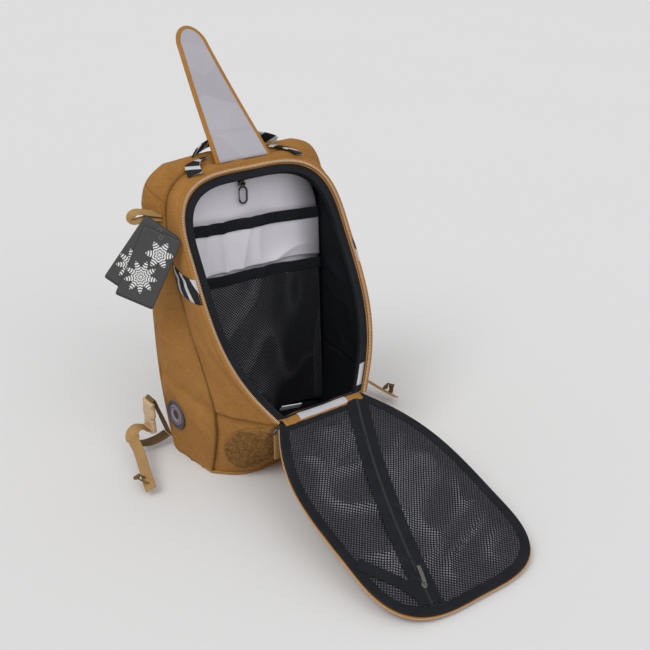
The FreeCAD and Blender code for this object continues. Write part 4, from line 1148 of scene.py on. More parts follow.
def slider_body(name, origin, turn, scale=1.0):
    """Zip slider: a shield-shaped body whose half-width follows two shoulders and a tail,
    with a bridge over it."""
    t = np.linspace(0, 1, 21)
    half = 0.0048 * scale * (0.45 + 0.55 * ease((t - 0.05) / 0.35)) * (1 - 0.55 * ease((t - 0.62) / 0.35))
    y = (t - 0.5) * 0.0135 * scale
    a = circle(16)
    ring = np.stack([signed_power(np.cos(a), 0.5), signed_power(np.sin(a), 0.5)], 1)
    fade = np.clip(np.minimum(t, 1 - t) / 0.06, 0.15, 1)
    x = ring[None, :, 0] * (half * fade)[:, None]
    z = ring[None, :, 1] * (0.0021 * scale * fade)[:, None] + 0.0021 * scale
    grid = np.stack([x, np.broadcast_to(y[:, None], x.shape), z], -1)
    faces = tube_faces(*grid.shape[:2])
    body = merged(make_object(name, placed(grid, turn, origin), faces, grid[..., :2]))
    arch = smooth_curve(np.array([[0, -0.0035, 0.0040], [0, -0.0022, 0.0062], [0, 0.0022, 0.0062],
                                  [0, 0.0035, 0.0040]]) * scale, 20)
    bridge = swept(name + "_bridge", placed(arch, turn, origin), band_profile(0.0026 * scale, 0.0008),
                   turn @ [1.0, 0, 0])
    return body, bridge


def build_main_sliders(f):
    """The two sliders, parked at the hinge corners, with their pulls and bar tacks."""
    for name in ("left", "right"):
        low, high = box("main_slider_" + name)
        centre = (low + high) / 2
        lean = math.atan2(HINGE_UP, HINGE[1] + 0.068)
        turn = turn_x(lean)
        body, bridge = slider_body("main_slider_body_" + name, centre - turn @ np.array([0, 0, 0.002]), turn)
        finish(body, f["metal"], nodes=["main_slider_" + name])
        finish(bridge, f["metal"])
        low, high = box("pull_tab_" + name)
        x, y = (low[0] + high[0]) / 2, (low[1] + high[1]) / 2
        z = np.linspace(high[2], low[2], 40)
        path = np.stack([np.full(40, x), np.full(40, y), z], 1)
        finish(swept("zip_pull_" + name, path, band_profile(0.0095, 0.0021, 0.0003), (0, -1, 0)),
               f["webbing"], body="pull_" + name, nodes=["pull_tab_" + name])
        bar = np.linspace([x - 0.0040, y - 0.0016, z[-1] + 0.012], [x + 0.0040, y - 0.0016, z[-1] + 0.012], 12)
        finish(swept("zip_pull_bartack_" + name, bar, round_profile(0.0007, 8), (0, -1, 0)), f["thread"],
               body="pull_" + name)


# ---------------------------------------------------------------- lid

def build_lid():
    size, f = bpy.context.scene.day_pack_sizes, finishes()
    up = LID @ np.array([0, 0, -1.0])

    def outline(offset, lift, count=161, low=0.0):
        return rim(offset, lift, count, low, turn=LID)

    rim_line = opening_outline(0.0)

    def lid_folds(x, y):
        """Height of the slack cloth: folds that run across the lid, held down along its edges."""
        p = np.stack([x * 0.5 + y * 0.6, y * 0.45 - x * 0.35, 0 * x], -1)
        half_width = np.interp(y, rim_line[:121, 1], rim_line[:121, 0])
        free = ease((half_width - 0.018 - np.abs(x)) / 0.045)
        free = free * ease((y - 0.02) / 0.04) * ease((0.378 - y) / 0.05)
        return free * (0.0020 + 0.0030 * (folds(p, 0.060, 113) + 0.4))

    t = np.linspace(0, 1, 81)
    rows = np.stack([np.interp(t, np.linspace(0, 1, 121), rim_line[:121, i]) for i in range(3)], 1)
    flat = ruled(rows, rows * [-1, 1, 1], 65)
    edge = np.linspace(-1, 1, 65)[None]
    crown = (1 - edge ** 6) * ease((flat[..., 1] + 0.002) / 0.03)
    crown = crown * ease((OPENING_LENGTH - flat[..., 1]) / 0.03)
    outer = flat.copy()
    outer[..., 2] = 0.0048 + 0.0022 * crown + 0.0003 * waves(flat, 0.05, 101) * crown
    finish(sheet_piece("lid_outer_cloth", placed(outer, LID, HINGE), 0.0012), f["shell"],
           "lid", ["lid_panel"])
    inner = flat * [0.985, 0.99, 1] + [0, 0, 0.0030]
    rise = lid_folds(inner[..., 0], inner[..., 1])
    inner[..., 2] -= rise
    # Painted shade: the lining is lighter on the crests of its folds and darker in their valleys.
    shade = np.clip((rise - 0.0030) * 200, -0.5, 0.5)
    finish(sheet_piece("lid_lining_cloth", placed(inner, LID, HINGE), 0.0008, shade), f["lid_lining"],
           "lid")
    wall = np.stack([outline(o, z, 241) for o, z in ((-0.0040, 0.0034), (-0.0008, 0.0036), (0.0004, 0.0046),
                                                    (0.0002, 0.0062), (-0.0020, 0.0070))], 1)
    finish(sheet_piece("lid_edge_tape", wall, 0.0010), f["shell_trim"], "lid")
    coil = outline(-0.0004, 0.0046, 601, 0.010)
    finish(zip_coil("lid_zip_coil", coil, up, size.tooth_pitch, 0.0044, 0.0022), f["teeth"],
           "lid", ["lid_zip_teeth"])
    width = 0.0155
    line = outline(-0.0002 - width / 2, 0.0008, 361, 0.004)
    finish(swept("lid_binding_tape", line, band_profile(width, 0.0022, 0.0006), up), f["black_tape"],
           "lid", ["lid_binding"])
    low_line = np.stack([np.linspace(-0.072, 0.072, 49), np.full(49, 0.0115), np.full(49, 0.0008)], 1)
    finish(swept("lid_hinge_binding", placed(low_line, LID, HINGE), band_profile(0.0175, 0.0022, 0.0005), up),
           f["black_tape"], "lid")
    for k, shift in enumerate((-0.0018, -0.0142)):
        finish(stitches("lid_binding_stitch_%d" % k, outline(shift, -0.0006, 361, 0.006), up, size.stitch,
                        width=0.0006), f["black_thread"], "lid")

    def lid_height(flat):
        """The net stands off the lining by a low crown, with diagonal folds."""
        return 0.0007 - lid_folds(flat[:, 0], flat[:, 1])

    edge = opening_outline(-0.010, 181)

    def lid_inside(flat):
        y = flat[..., 1]
        half_width = np.interp(y, edge[:91, 1], edge[:91, 0], left=-1, right=-1)
        return (np.abs(flat[..., 0]) < half_width) & (y > 0.010)

    lid_net = net("lid_net", LID, HINGE, (-0.145, 0.0), (0.145, 0.40), size.lid_net_pitch, lid_inside,
                  lid_height, angle=math.radians(38))
    finish(lid_net, f["net"], "lid", ["lid_mesh"])

    # pocket zip across the net: a tape, a coil, a brace in its far corner, a slider and its pull
    start, end = np.array([0.064, 0.010]), np.array([-0.077, 0.378])
    chord = end - start
    length = np.hypot(*chord)
    across = np.array([chord[1], -chord[0]]) / length
    radius = POCKET_ZIP_RADIUS
    centre = (start + end) / 2 + across * math.sqrt(radius ** 2 - (length / 2) ** 2)
    a0, a1 = (math.atan2(*(p - centre)[::-1]) for p in (start, end))
    angle = np.linspace(a0 % (2 * math.pi), a1 % (2 * math.pi), 121)
    way = np.stack([np.cos(angle), np.sin(angle)], 1)
    arc = centre + radius * way
    bow = 0.0030 * np.sin(np.linspace(0, math.pi, 121))
    path = placed(np.column_stack([arc, -0.0012 - bow]), LID, HINGE)
    finish(swept("lid_pocket_zip_tape", path, band_profile(0.036, 0.0014, 0.0006), up), f["black_tape"],
           "lid", ["lid_pocket_zip"])
    finish(zip_coil("lid_pocket_zip_coil", path + up * 0.0013, up, 0.0016, 0.0052, 0.0016), f["black_coil"],
           "lid")
    for k, shift in enumerate((-0.0150, 0.0150)):
        shifted = centre + (radius + shift) * way
        line = placed(np.column_stack([shifted, -0.0012 - bow]), LID, HINGE) + up * 0.0011
        finish(stitches("lid_pocket_zip_stitch_%d" % k, line, up, size.stitch, width=0.0006),
               f["black_thread"], "lid")
    brace = smooth_curve([[-0.1310, 0.276, -0.0014], [-0.112, 0.306, -0.0022], [-0.094, 0.334, -0.0024],
                          [-0.080, 0.372, -0.0016]], 60)
    finish(swept("lid_pocket_brace", placed(brace, LID, HINGE), band_profile(0.019, 0.0014, 0.0006), up),
           f["black_tape"], "lid")
    low, high = box("lid_pocket_slider")
    middle = (low + high) / 2
    way = unit(placed([[*(start - end), 0]], LID, (0, 0, 0)))[0]
    side = np.cross(way, up)
    turn = np.stack([side, way, up], 1)
    body, bridge = slider_body("lid_pocket_slider_body", middle - up * 0.0012, turn, 0.9)
    finish(body, f["metal"], "lid_pocket_slider", ["lid_pocket_slider"])
    finish(bridge, f["metal"], "lid_pocket_slider")
    pull = [middle + way * d + up * h for d, h in ((0.002, 0.0044), (0.010, 0.0050), (0.030, 0.0036))]
    pull = smooth_curve(pull, 30)
    finish(swept("lid_pocket_pull_tab", pull, band_profile(0.0060, 0.0016), up), f["metal"],
           "lid_pocket_slider", ["lid_pocket_pull"])


# ---------------------------------------------------------------- tongue, handle, webbing and cards

def tongue_half(y, inset=0.0):
    """Half width of the tongue: a straight taper that a quarter ellipse closes at the tip."""
    root, tip, length = 0.052 - inset, 0.027 - inset, 0.262 - inset
    shoulder = 0.222
    taper = root + (tip - root) * np.clip((y - 0.008) / (shoulder + 0.013 - 0.008), 0, 1)
    at = root + (tip - root) * (shoulder - 0.008) / (shoulder + 0.013 - 0.008)
    round_tip = at * np.sqrt(np.clip(1 - ((y - shoulder) / (length - shoulder)) ** 2, 0, 1))
    return np.where(y < shoulder, taper, round_tip)


def tongue_shape(x, y):
    """Height of the tongue over its own plane: a slight cup across and a slow bow along."""
    return -0.0012 * (x / 0.05) ** 2 - 0.0030 * np.sin((y - 0.008) / 0.254 * math.pi)


def build_tongue():
    size, f = bpy.context.scene.day_pack_sizes, finishes()
    s = np.linspace(0, 1, 61)
    y = 0.008 + 0.2538 * (1 - (1 - s) ** 1.7)
    t = np.linspace(-1, 1, 33)

    def plate(inset, lift):
        half = np.maximum(tongue_half(y, inset), 0.0002)
        x = half[:, None] * t[None]
        yy = np.broadcast_to(y[:, None], x.shape) - inset * (s[:, None] > 0.999)
        z = tongue_shape(x, yy) + lift
        return placed(np.stack([x, yy, z], -1), TONGUE, TONGUE_PIVOT)

    finish(sheet_piece("tongue_outer_cloth", plate(0.0012, -0.0108), 0.0012), f["shell"],
           "tongue", ["tongue_panel"])
    finish(sheet_piece("tongue_lining_cloth", plate(0.0022, -0.0080), 0.0010), f["patch_lining"],
           "tongue", ["tongue_lining"])
    edge_y = 0.008 + 0.254 * (1 - (1 - np.linspace(0, 1, 161)) ** 2.6)
    half = tongue_half(edge_y)
    right = np.stack([half, edge_y], 1)
    loop = np.concatenate([right, right[-2::-1] * [-1, 1]])
    loop = smooth_curve(np.column_stack([loop, np.zeros(len(loop))]), 361)
    flat = loop[:, :2]
    tangent = unit(np.gradient(flat, axis=0))
    normal = np.stack([-tangent[:, 1], tangent[:, 0]], 1)
    flat = flat + normal * 0.0040
    path = np.column_stack([flat, tongue_shape(flat[:, 0], flat[:, 1]) - 0.0098])
    up = TONGUE @ np.array([0, 0, 1.0])
    path = placed(path, TONGUE, TONGUE_PIVOT)
    finish(swept("tongue_binding", path, band_profile(0.0088, 0.0046, 0.0003), up), f["shell_trim"],
           "tongue")
    flat = flat + normal * 0.0028
    path = np.column_stack([flat, tongue_shape(flat[:, 0], flat[:, 1]) - 0.0073])
    finish(stitches("tongue_stitch", placed(path, TONGUE, TONGUE_PIVOT), up, size.stitch, width=0.0007),
           f["thread"], "tongue")
    cross = np.linspace(-0.040, 0.040, 41)
    for k, level in enumerate((0.060, 0.0635)):
        path = np.stack([cross, np.full(41, level), tongue_shape(cross, np.full(41, level)) - 0.0072], 1)
        finish(stitches("tongue_cross_stitch_%d" % k, placed(path, TONGUE, TONGUE_PIVOT), up, size.stitch,
                        width=0.0005), f["label"], "tongue")
    # root web: a curved strip from the pack to the tongue's root
    x = np.linspace(-0.0505, 0.0505, 41)
    start = TONGUE_PIVOT + [0, 0.0140, -0.0040]
    end = placed([[0, 0.012, -0.0100]], TONGUE, TONGUE_PIVOT)[0]
    middle = (start + end) / 2 + [0, 0.001, 0]
    line = smooth_curve([start, middle, end], 21)
    grid = line[:, None] + np.stack([x, 0 * x, 0 * x], 1)[None]
    root = sheet_piece("tongue_root_web", grid, 0.0014)
    root.data.materials.append(f["shell"])
    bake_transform(root)


def build_webbing():
    f = finishes()
    pivot = np.array([0, 0.091, PACK_TOP + 0.0105])
    turn = turn_x(math.pi / 2 - math.radians(50))
    a = np.linspace(-1, 1, 121)
    arch = np.stack([a * 0.079, 0.0255 * (1 - a ** 2) ** 0.8, 0 * a], 1)
    path = placed(arch, turn, pivot)
    out = placed(np.stack([a * 0.6, np.ones(121), 0 * a], 1), turn, (0, 0, 0))
    finish(swept("grab_handle_webbing", path, band_profile(0.025, 0.0022, 0.0004), unit(out)), f["striped"],
           "handle", ["grab_handle"])
    for side, name in ((-1, "left"), (1, "right")):
        root = smooth_curve([[side * 0.056, 0.1010, 0.4995], [side * 0.072, 0.0920, 0.4990],
                             [side * 0.086, 0.0800, 0.4965], [side * 0.094, 0.0640, 0.4935],
                             [side * 0.0985, 0.0500, 0.4890]], 60)
        finish(swept("handle_root_webbing_" + name, root, band_profile(0.025, 0.0020, 0.0003),
                     (side * 0.35, -0.15, 0.95)), f["striped"])
        # webbing that runs down the gusset and shows as two slanting windows each side
        low, high = (float(c[2]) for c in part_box("lash_webbing_" + name))
        cloth, out, _ = gusset_cloth()
        middle = cloth[..., 2].mean(1)
        rows = np.where((middle > low) & (middle < high) & (cloth[:, 20, 0] * side > 0))[0]
        strip = cloth[rows] + out[rows] * 0.0016
        finish(sheet_piece("lash_webbing_cloth_" + name, np.swapaxes(strip, 0, 1), 0.0018), f["striped"],
               nodes=["lash_webbing_" + name])


def card_mesh(name, width, length, top, turn, origin, thick=0.0008):
    """A card with rounded corners and a slight curl; its map is centred on the card."""
    a = circle(96)
    x = signed_power(np.cos(a), 0.08) * width / 2
    y = signed_power(np.sin(a), 0.08) * length / 2
    shares = np.linspace(0, 1, 15)[:, None]
    xs, ys = shares * x, shares * y
    z = 0.0008 * (ys / (length / 2)) ** 2
    front = np.stack([xs, ys, z + thick], -1)
    rear = np.stack([xs, ys, z], -1)[::-1]
    grid = np.concatenate([front, rear])
    shift = np.array([0, top - length / 2, 0])
    made = make_object(name, placed(grid + shift, turn, origin), grid_faces(*grid.shape[:2], wrap=True),
                       grid[..., :2])
    return merged(made, 1e-6)


def build_cards():
    f = finishes()
    for name, tilt, joint in (("front", -23.0, "tag_front_swing"), ("rear", -34.0, "tag_rear_swing")):
        turn = turn_z(math.radians(-36)) @ turn_x(math.radians(65)) @ turn_z(math.radians(tilt))
        pivot = np.array(JOINTS[joint]["pos_m"])
        card = card_mesh("hang_card_" + name, 0.062, 0.114, 0.008, turn, pivot)
        finish(card, f["card"], "tag_" + name, ["hang_tag_" + name])
        a = circle(32)
        ring = np.stack([0.0028 * np.cos(a), 0.0028 * np.sin(a), np.full(32, 0.0013)], 1)
        finish(swept("card_eyelet_" + name, placed(ring, turn, pivot), round_profile(0.0007, 8),
                     turn @ [0, 0, 1.0], closed=True), f["metal"], "tag_" + name)
    # small dark ring that carries the cards
    a = circle(48)
    ring = np.array([-0.176, 0.040, 0.402]) + np.stack([0.004 * np.cos(a), 0.005 * np.sin(a),
                                                        0.0125 * np.sin(a) + 0.002], 1)
    finish(swept("card_ring", ring, round_profile(0.0011, 8), (1, 0, 0), closed=True), f["clip"])


# ---------------------------------------------------------------- port, patch and small tabs

def build_fittings():
    size, f = bpy.context.scene.day_pack_sizes, finishes()
    low, high = box("port_ring")
    centre = (low + high) / 2
    share = 0.077 / 0.132
    y_back, y_seam = back_y(0.077), -0.028 - 0.029 * share
    run = (0.150 + 0.006 * share) - (0.142 + 0.006 * share)
    yaw = math.atan2(run, y_back - y_seam)
    turn = turn_z(yaw) @ np.array([[0, 0, -1.0], [-1, 0, 0], [0, 1, 0]])
    middle = centre - np.array([0.0016, 0, 0])
    outer = [(0.0190, 0.0), (0.0260, 0.0), (0.0262, 0.0014), (0.0250, 0.0030), (0.0225, 0.0036),
             (0.0200, 0.0030), (0.0190, 0.0016)]
    finish(lathe("port_outer_ring", outer, turn, middle), f["port_dark"], nodes=["port_ring"])
    inner = [(0.0082, 0.0), (0.0187, 0.0), (0.0187, 0.0018), (0.0168, 0.0028), (0.0120, 0.0026),
             (0.0090, 0.0018), (0.0082, 0.0010)]
    finish(lathe("port_inner_ring", inner, turn, middle), f["port_pale"], nodes=["port_face"])
    groove = [(0.0142, 0.0024), (0.0152, 0.0024), (0.0152, 0.0033), (0.0142, 0.0033)]
    finish(lathe("port_bead", groove, turn, middle), f["port_dark"])
    a = circle(8)
    petals = np.stack([np.cos(a), np.sin(a), 0 * a], 1)
    points, faces = bead(0.0078, 0.0050, 0.0008, rings=5, sides=8)
    axes = np.stack([placed(petals, turn, (0, 0, 0)),
                     placed(np.stack([-np.sin(a), np.cos(a), 0 * a], 1), turn, (0, 0, 0)),
                     np.broadcast_to(turn @ [0, 0, 1.0], (8, 3))], 1)
    spots = placed(petals * 0.0043 + [0, 0, 0.0008], turn, middle)
    core = repeated("port_core_petals", points, faces, spots, axes)
    finish(merged(core, 1e-8), f["port_core"])

    # oval loop patch sewn round the left corner of the lower front
    low, out, _ = lower_front()
    steps = np.linalg.norm(np.diff(low, axis=1), axis=2).mean(0)
    along = np.concatenate([[0], np.cumsum(steps)])
    centre_along, centre_up, half_along, half_up = along[-1] - 0.071, 0.070, 0.048, 0.046

    def on_lower_front(across, up, lift):
        """Points at a distance round the lower front and a height on it, lifted along its normal."""
        column = np.interp(centre_along + across, along, np.arange(len(along)))
        row = (centre_up + up) / HINGE_UP * (len(low) - 1)
        return sampled(low, row, column) + unit(sampled(out, row, column)) * np.asarray(lift)[..., None]

    radius, angle = np.meshgrid(np.linspace(0.001, 1, 41), np.linspace(0, 2 * math.pi, 121), indexing="ij")
    x, y = radius * np.cos(angle) * half_along, radius * np.sin(angle) * half_up
    flat = np.stack([x, y, 0 * x], -1)
    fuzz = 0.0003 * (waves(flat, 0.0042, 131) + waves(flat, 0.0024, 137))
    lift = 0.0013 + 0.0016 * ease((1 - radius) * 9) + fuzz
    patch = sheet_piece("loop_patch_pile", on_lower_front(x, y, lift), 0.0020)
    finish(patch, f["pile"], nodes=["loop_patch"])
    turn_round = np.linspace(0, 2 * math.pi, 241)
    edge_x, edge_y = np.cos(turn_round) * half_along * 0.965, np.sin(turn_round) * half_up * 0.965
    finish(stitches("loop_patch_stitch", on_lower_front(edge_x, edge_y, np.full(241, 0.0031)),
                    (-0.5, -0.8, 0.3), size.stitch), f["thread"])
    rng = np.random.default_rng(7)
    spot = np.sqrt(rng.uniform(0, 0.92, 4200))
    way = rng.uniform(0, 2 * math.pi, 4200)
    spot_x, spot_y = spot * np.cos(way) * half_along, spot * np.sin(way) * half_up
    lie = rng.normal(size=(4200, 3))
    points, faces = bead(0.0024, 0.0005, 0.0005, rings=2, sides=4)
    loops = repeated("loop_patch_loops", points, faces, on_lower_front(spot_x, spot_y, np.full(4200, 0.0042)),
                     axes_along(unit(lie), (-0.5, -0.8, 0.3)))
    finish(merged(loops, 1e-9), f["pile"])

    # folded tape tab and webbing loop sewn at the left shoulder
    tab = smooth_curve([[-0.152, 0.070, 0.430], [-0.175, 0.074, 0.436], [-0.198, 0.078, 0.436],
                        [-0.202, 0.076, 0.429], [-0.182, 0.072, 0.427], [-0.154, 0.068, 0.424]], 60)
    finish(swept("shoulder_tab_left", tab, band_profile(0.014, 0.0014), (0.2, -0.5, 0.9)), f["webbing"])
    loop = smooth_curve([[-0.138, 0.092, 0.452], [-0.151, 0.098, 0.452], [-0.160, 0.100, 0.436],
                         [-0.162, 0.099, 0.418], [-0.156, 0.095, 0.408], [-0.148, 0.092, 0.404]], 60)
    finish(swept("shoulder_loop_left", loop, band_profile(0.020, 0.0018), (-0.9, 0.1, 0.4)), f["black_tape"])


# ---------------------------------------------------------------- carrying side

def padded_cloth(name, outline, low, high, height, turn, origin, sink, cap, channel=None):
    """A padded piece: a closed pillow over an outline that cloth pressure swells.
    The pillow's two faces meet in a superellipse edge; sewn channels are pressed in afterwards."""
    rows = np.linspace(0, 1, 45)
    left, right = outline(rows)
    middle, half = (left + right) / 2, (right - left) / 2
    a = circle(48)
    ring_x, ring_z = signed_power(np.cos(a), 0.35), signed_power(np.sin(a), 0.6)
    fade = np.clip(np.minimum(rows, 1 - rows) / 0.03, 0, 1) ** 0.5
    x = middle[:, None] + half[:, None] * ring_x[None] * (0.97 + 0.03 * fade[:, None])
    y = np.broadcast_to((low + (high - low) * rows)[:, None], x.shape)
    z = height / 2 + (height / 2 - sink) * ring_z[None] * (0.12 + 0.88 * fade[:, None])
    grid = np.stack([x, y, z], -1)
    made = merged(make_object(name, placed(grid, turn, origin), tube_faces(*grid.shape[:2])), 1e-6)
    remesh = made.modifiers.new("remesh", "REMESH")
    remesh.mode = "VOXEL"
    remesh.voxel_size = 0.005
    bpy.context.view_layer.objects.active = made
    for other in bpy.context.selected_objects:
        other.select_set(False)
    made.select_set(True)
    bpy.ops.object.modifier_apply(modifier="remesh")
    rest = points_of(made)
    cloth = made.modifiers.new("swell", "CLOTH")
    cloth.settings.quality = 5
    cloth.settings.use_pressure = True
    cloth.settings.uniform_pressure_force = 4.0
    cloth.settings.effector_weights.gravity = 0.0
    cloth.point_cache.frame_start = 1
    cloth.point_cache.frame_end = bpy.context.scene.day_pack_sizes.pad_frames
    scene = bpy.context.scene
    for number in range(1, scene.day_pack_sizes.pad_frames + 1):
        scene.frame_set(number)
    bpy.ops.object.modifier_apply(modifier="swell")
    scene.frame_set(1)
    moved = points_of(made) - rest
    far = np.linalg.norm(moved, axis=1, keepdims=True)
    rest = rest + moved * np.minimum(1, cap / np.maximum(far, 1e-9))
    local = (rest - np.asarray(origin)) @ turn
    if channel is not None:
        local = channel(local)
    local[:, 2] = np.clip(local[:, 2], -0.004, height + 0.003)
    made.data.vertices.foreach_set("co", placed(local, turn, origin).astype(np.float32).ravel())
    made.data.update()
    made.data.polygons.foreach_set("use_smooth", np.ones(len(made.data.polygons), bool))
    set_map(made.data, local[:, :2])
    soft = made.modifiers.new("soft", "SUBSURF")
    soft.levels = soft.render_levels = 1
    return made


def points_of(made):
    """An object's points as an array."""
    co = np.zeros(len(made.data.vertices) * 3, np.float32)
    made.data.vertices.foreach_get("co", co)
    return co.reshape(-1, 3).astype(float)


def build_carrying_side():
    f = finishes()
    out = BACK_TURN @ np.array([0, 0, -1.0])

    def back_origin(depth):
        return BACK_ORIGIN + out * depth

    pad_turn = BACK_TURN @ np.diag([-1.0, 1.0, -1.0])

    def pad_outline(t):
        half = 0.130 - 0.010 * ease((t - 0.86) / 0.14) * 1.5 - 0.008 * ease((0.10 - t) / 0.10)
        return -half, half

    def pad_channels(local):
        """Spine channel and two cross channels pressed into the outer face."""
        x, y, z = local.T
        outer = ease((z - 0.004) / 0.004)
        groove = 0.0050 * np.exp(-(x / 0.009) ** 2)
        for level in (0.16, 0.27, 0.36):
            groove = groove + 0.0038 * np.exp(-((y - level - 0.05 * np.abs(x) / 0.13) / 0.006) ** 2)
        local[:, 2] = z - groove * outer
        return local

    pad = padded_cloth("back_pad_cushion", pad_outline, 0.062, 0.418, 0.0095, pad_turn, back_origin(0.0004),
                       0.0008, 0.006, pad_channels)
    finish(pad, f["air_mesh"], nodes=["back_pad"])

    for side, name in ((-1, "left"), (1, "right")):
        def strap_outline(t, side=side):
            y = STRAP_LEVELS[0] + (STRAP_LEVELS[-1] - STRAP_LEVELS[0]) * t
            inner = np.interp(y, STRAP_LEVELS, [0.092, 0.064, 0.042, 0.034])
            outer = np.interp(y, STRAP_LEVELS, [0.124, 0.114, 0.108, 0.098])
            a, b = inner + 0.001, outer - 0.001
            return (-side * b, -side * a) if side > 0 else (a, b)

        depth = 0.009 + 2 * 0.0004
        strap = padded_cloth("shoulder_strap_padding_" + name, strap_outline, 0.169, 0.461, 0.012, pad_turn,
                             back_origin(depth), 0.0010, 0.005)
        finish(strap, f["air_mesh"], nodes=["shoulder_strap_" + name])
        y = np.linspace(0.172, 0.458, 121)
        x = np.interp(y, STRAP_LEVELS, [0.108, 0.089, 0.075, 0.066])
        x = np.convolve(np.pad(x, 10, mode="edge"), np.ones(21) / 21, "valid") * side
        line = on_back(np.stack([x, y, np.full(121, -0.0232)], 1))
        finish(swept("shoulder_webbing_" + name, line, band_profile(0.025, 0.0018, 0.0003), out),
               f["webbing"])
        for k, level in enumerate((0.200, 0.255, 0.315, 0.395, 0.440)):
            at = np.interp(level, y, x)
            bar = np.stack([np.linspace(-0.011, 0.011, 12) + at, np.full(12, level), np.full(12, -0.0243)], 1)
            finish(swept("shoulder_bartack_%s_%d" % (name, k), on_back(bar), round_profile(0.0008, 8), out),
                   f["thread"])
        edge = on_back(np.stack([np.linspace(-0.034, 0.034, 30) + side * 0.066, np.full(30, 0.4645),
                                 np.full(30, -0.0090)], 1))
        finish(swept("shoulder_anchor_" + name, edge, band_profile(0.012, 0.012, 0.001), out), f["shell"])

    # chest strap
    for side, name in ((-1, "left"), (1, "right")):
        body = "chest_plug" if name == "left" else "pack"
        low, high = box("chest_webbing_" + name)
        z = (low[2] + high[2]) / 2
        y = (low[1] + high[1]) / 2
        x = np.linspace(low[0], high[0], 50)
        path = np.stack([x, y + 0.0008 * np.sin(np.linspace(0, 5 * math.pi, 50)), np.full(50, z)], 1)
        finish(swept("chest_webbing_cloth_" + name, path, band_profile(0.018, 0.0015), (0, 1, 0)),
               f["webbing"], body, ["chest_webbing_" + name])
    for node_name, body in (("chest_socket", "pack"), ("chest_plug", "chest_plug")):
        low, high = box(node_name)
        finish(rounded_block(node_name + "_shell", low, high, 0.22), f["plastic"], body,
               [node_name])


def rounded_block(name, low, high, power, pinch=None, axis=0):
    """A moulded block: superellipse sections along one axis, faded at both ends; pinch narrows it by a
    function of the share along the axis."""
    low, high = np.asarray(low, float), np.asarray(high, float)
    centre, half = (low + high) / 2, (high - low) / 2
    t = np.concatenate([[-1, -0.985, -0.94, -0.86], np.linspace(-0.75, 0.75, 19), [0.86, 0.94, 0.985, 1]])
    fade = (1 - np.abs(t) ** 14) ** 0.5
    fade = 0.62 + 0.38 * np.nan_to_num(fade)
    waist = np.ones_like(t) if pinch is None else pinch((t + 1) / 2)
    a = circle(40)
    p, q = signed_power(np.cos(a), power), signed_power(np.sin(a), power)
    others = [i for i in range(3) if i != axis]
    grid = np.zeros((len(t), len(a), 3))
    grid[..., axis] = (t * half[axis])[:, None]
    wide = others[0] if half[others[0]] > half[others[1]] else others[1]
    thin = others[0] if wide == others[1] else others[1]
    grid[..., wide] = (fade * waist)[:, None] * p * half[wide]
    grid[..., thin] = fade[:, None] * q * half[thin]
    edge = np.broadcast_to((np.abs(t) ** 8)[:, None], grid.shape[:2])
    made = make_object(name, grid + centre, tube_faces(*grid.shape[:2]), grid[..., [axis, wide]], edge)
    return merged(made, 1e-7)


# ---------------------------------------------------------------- lower straps and buckles

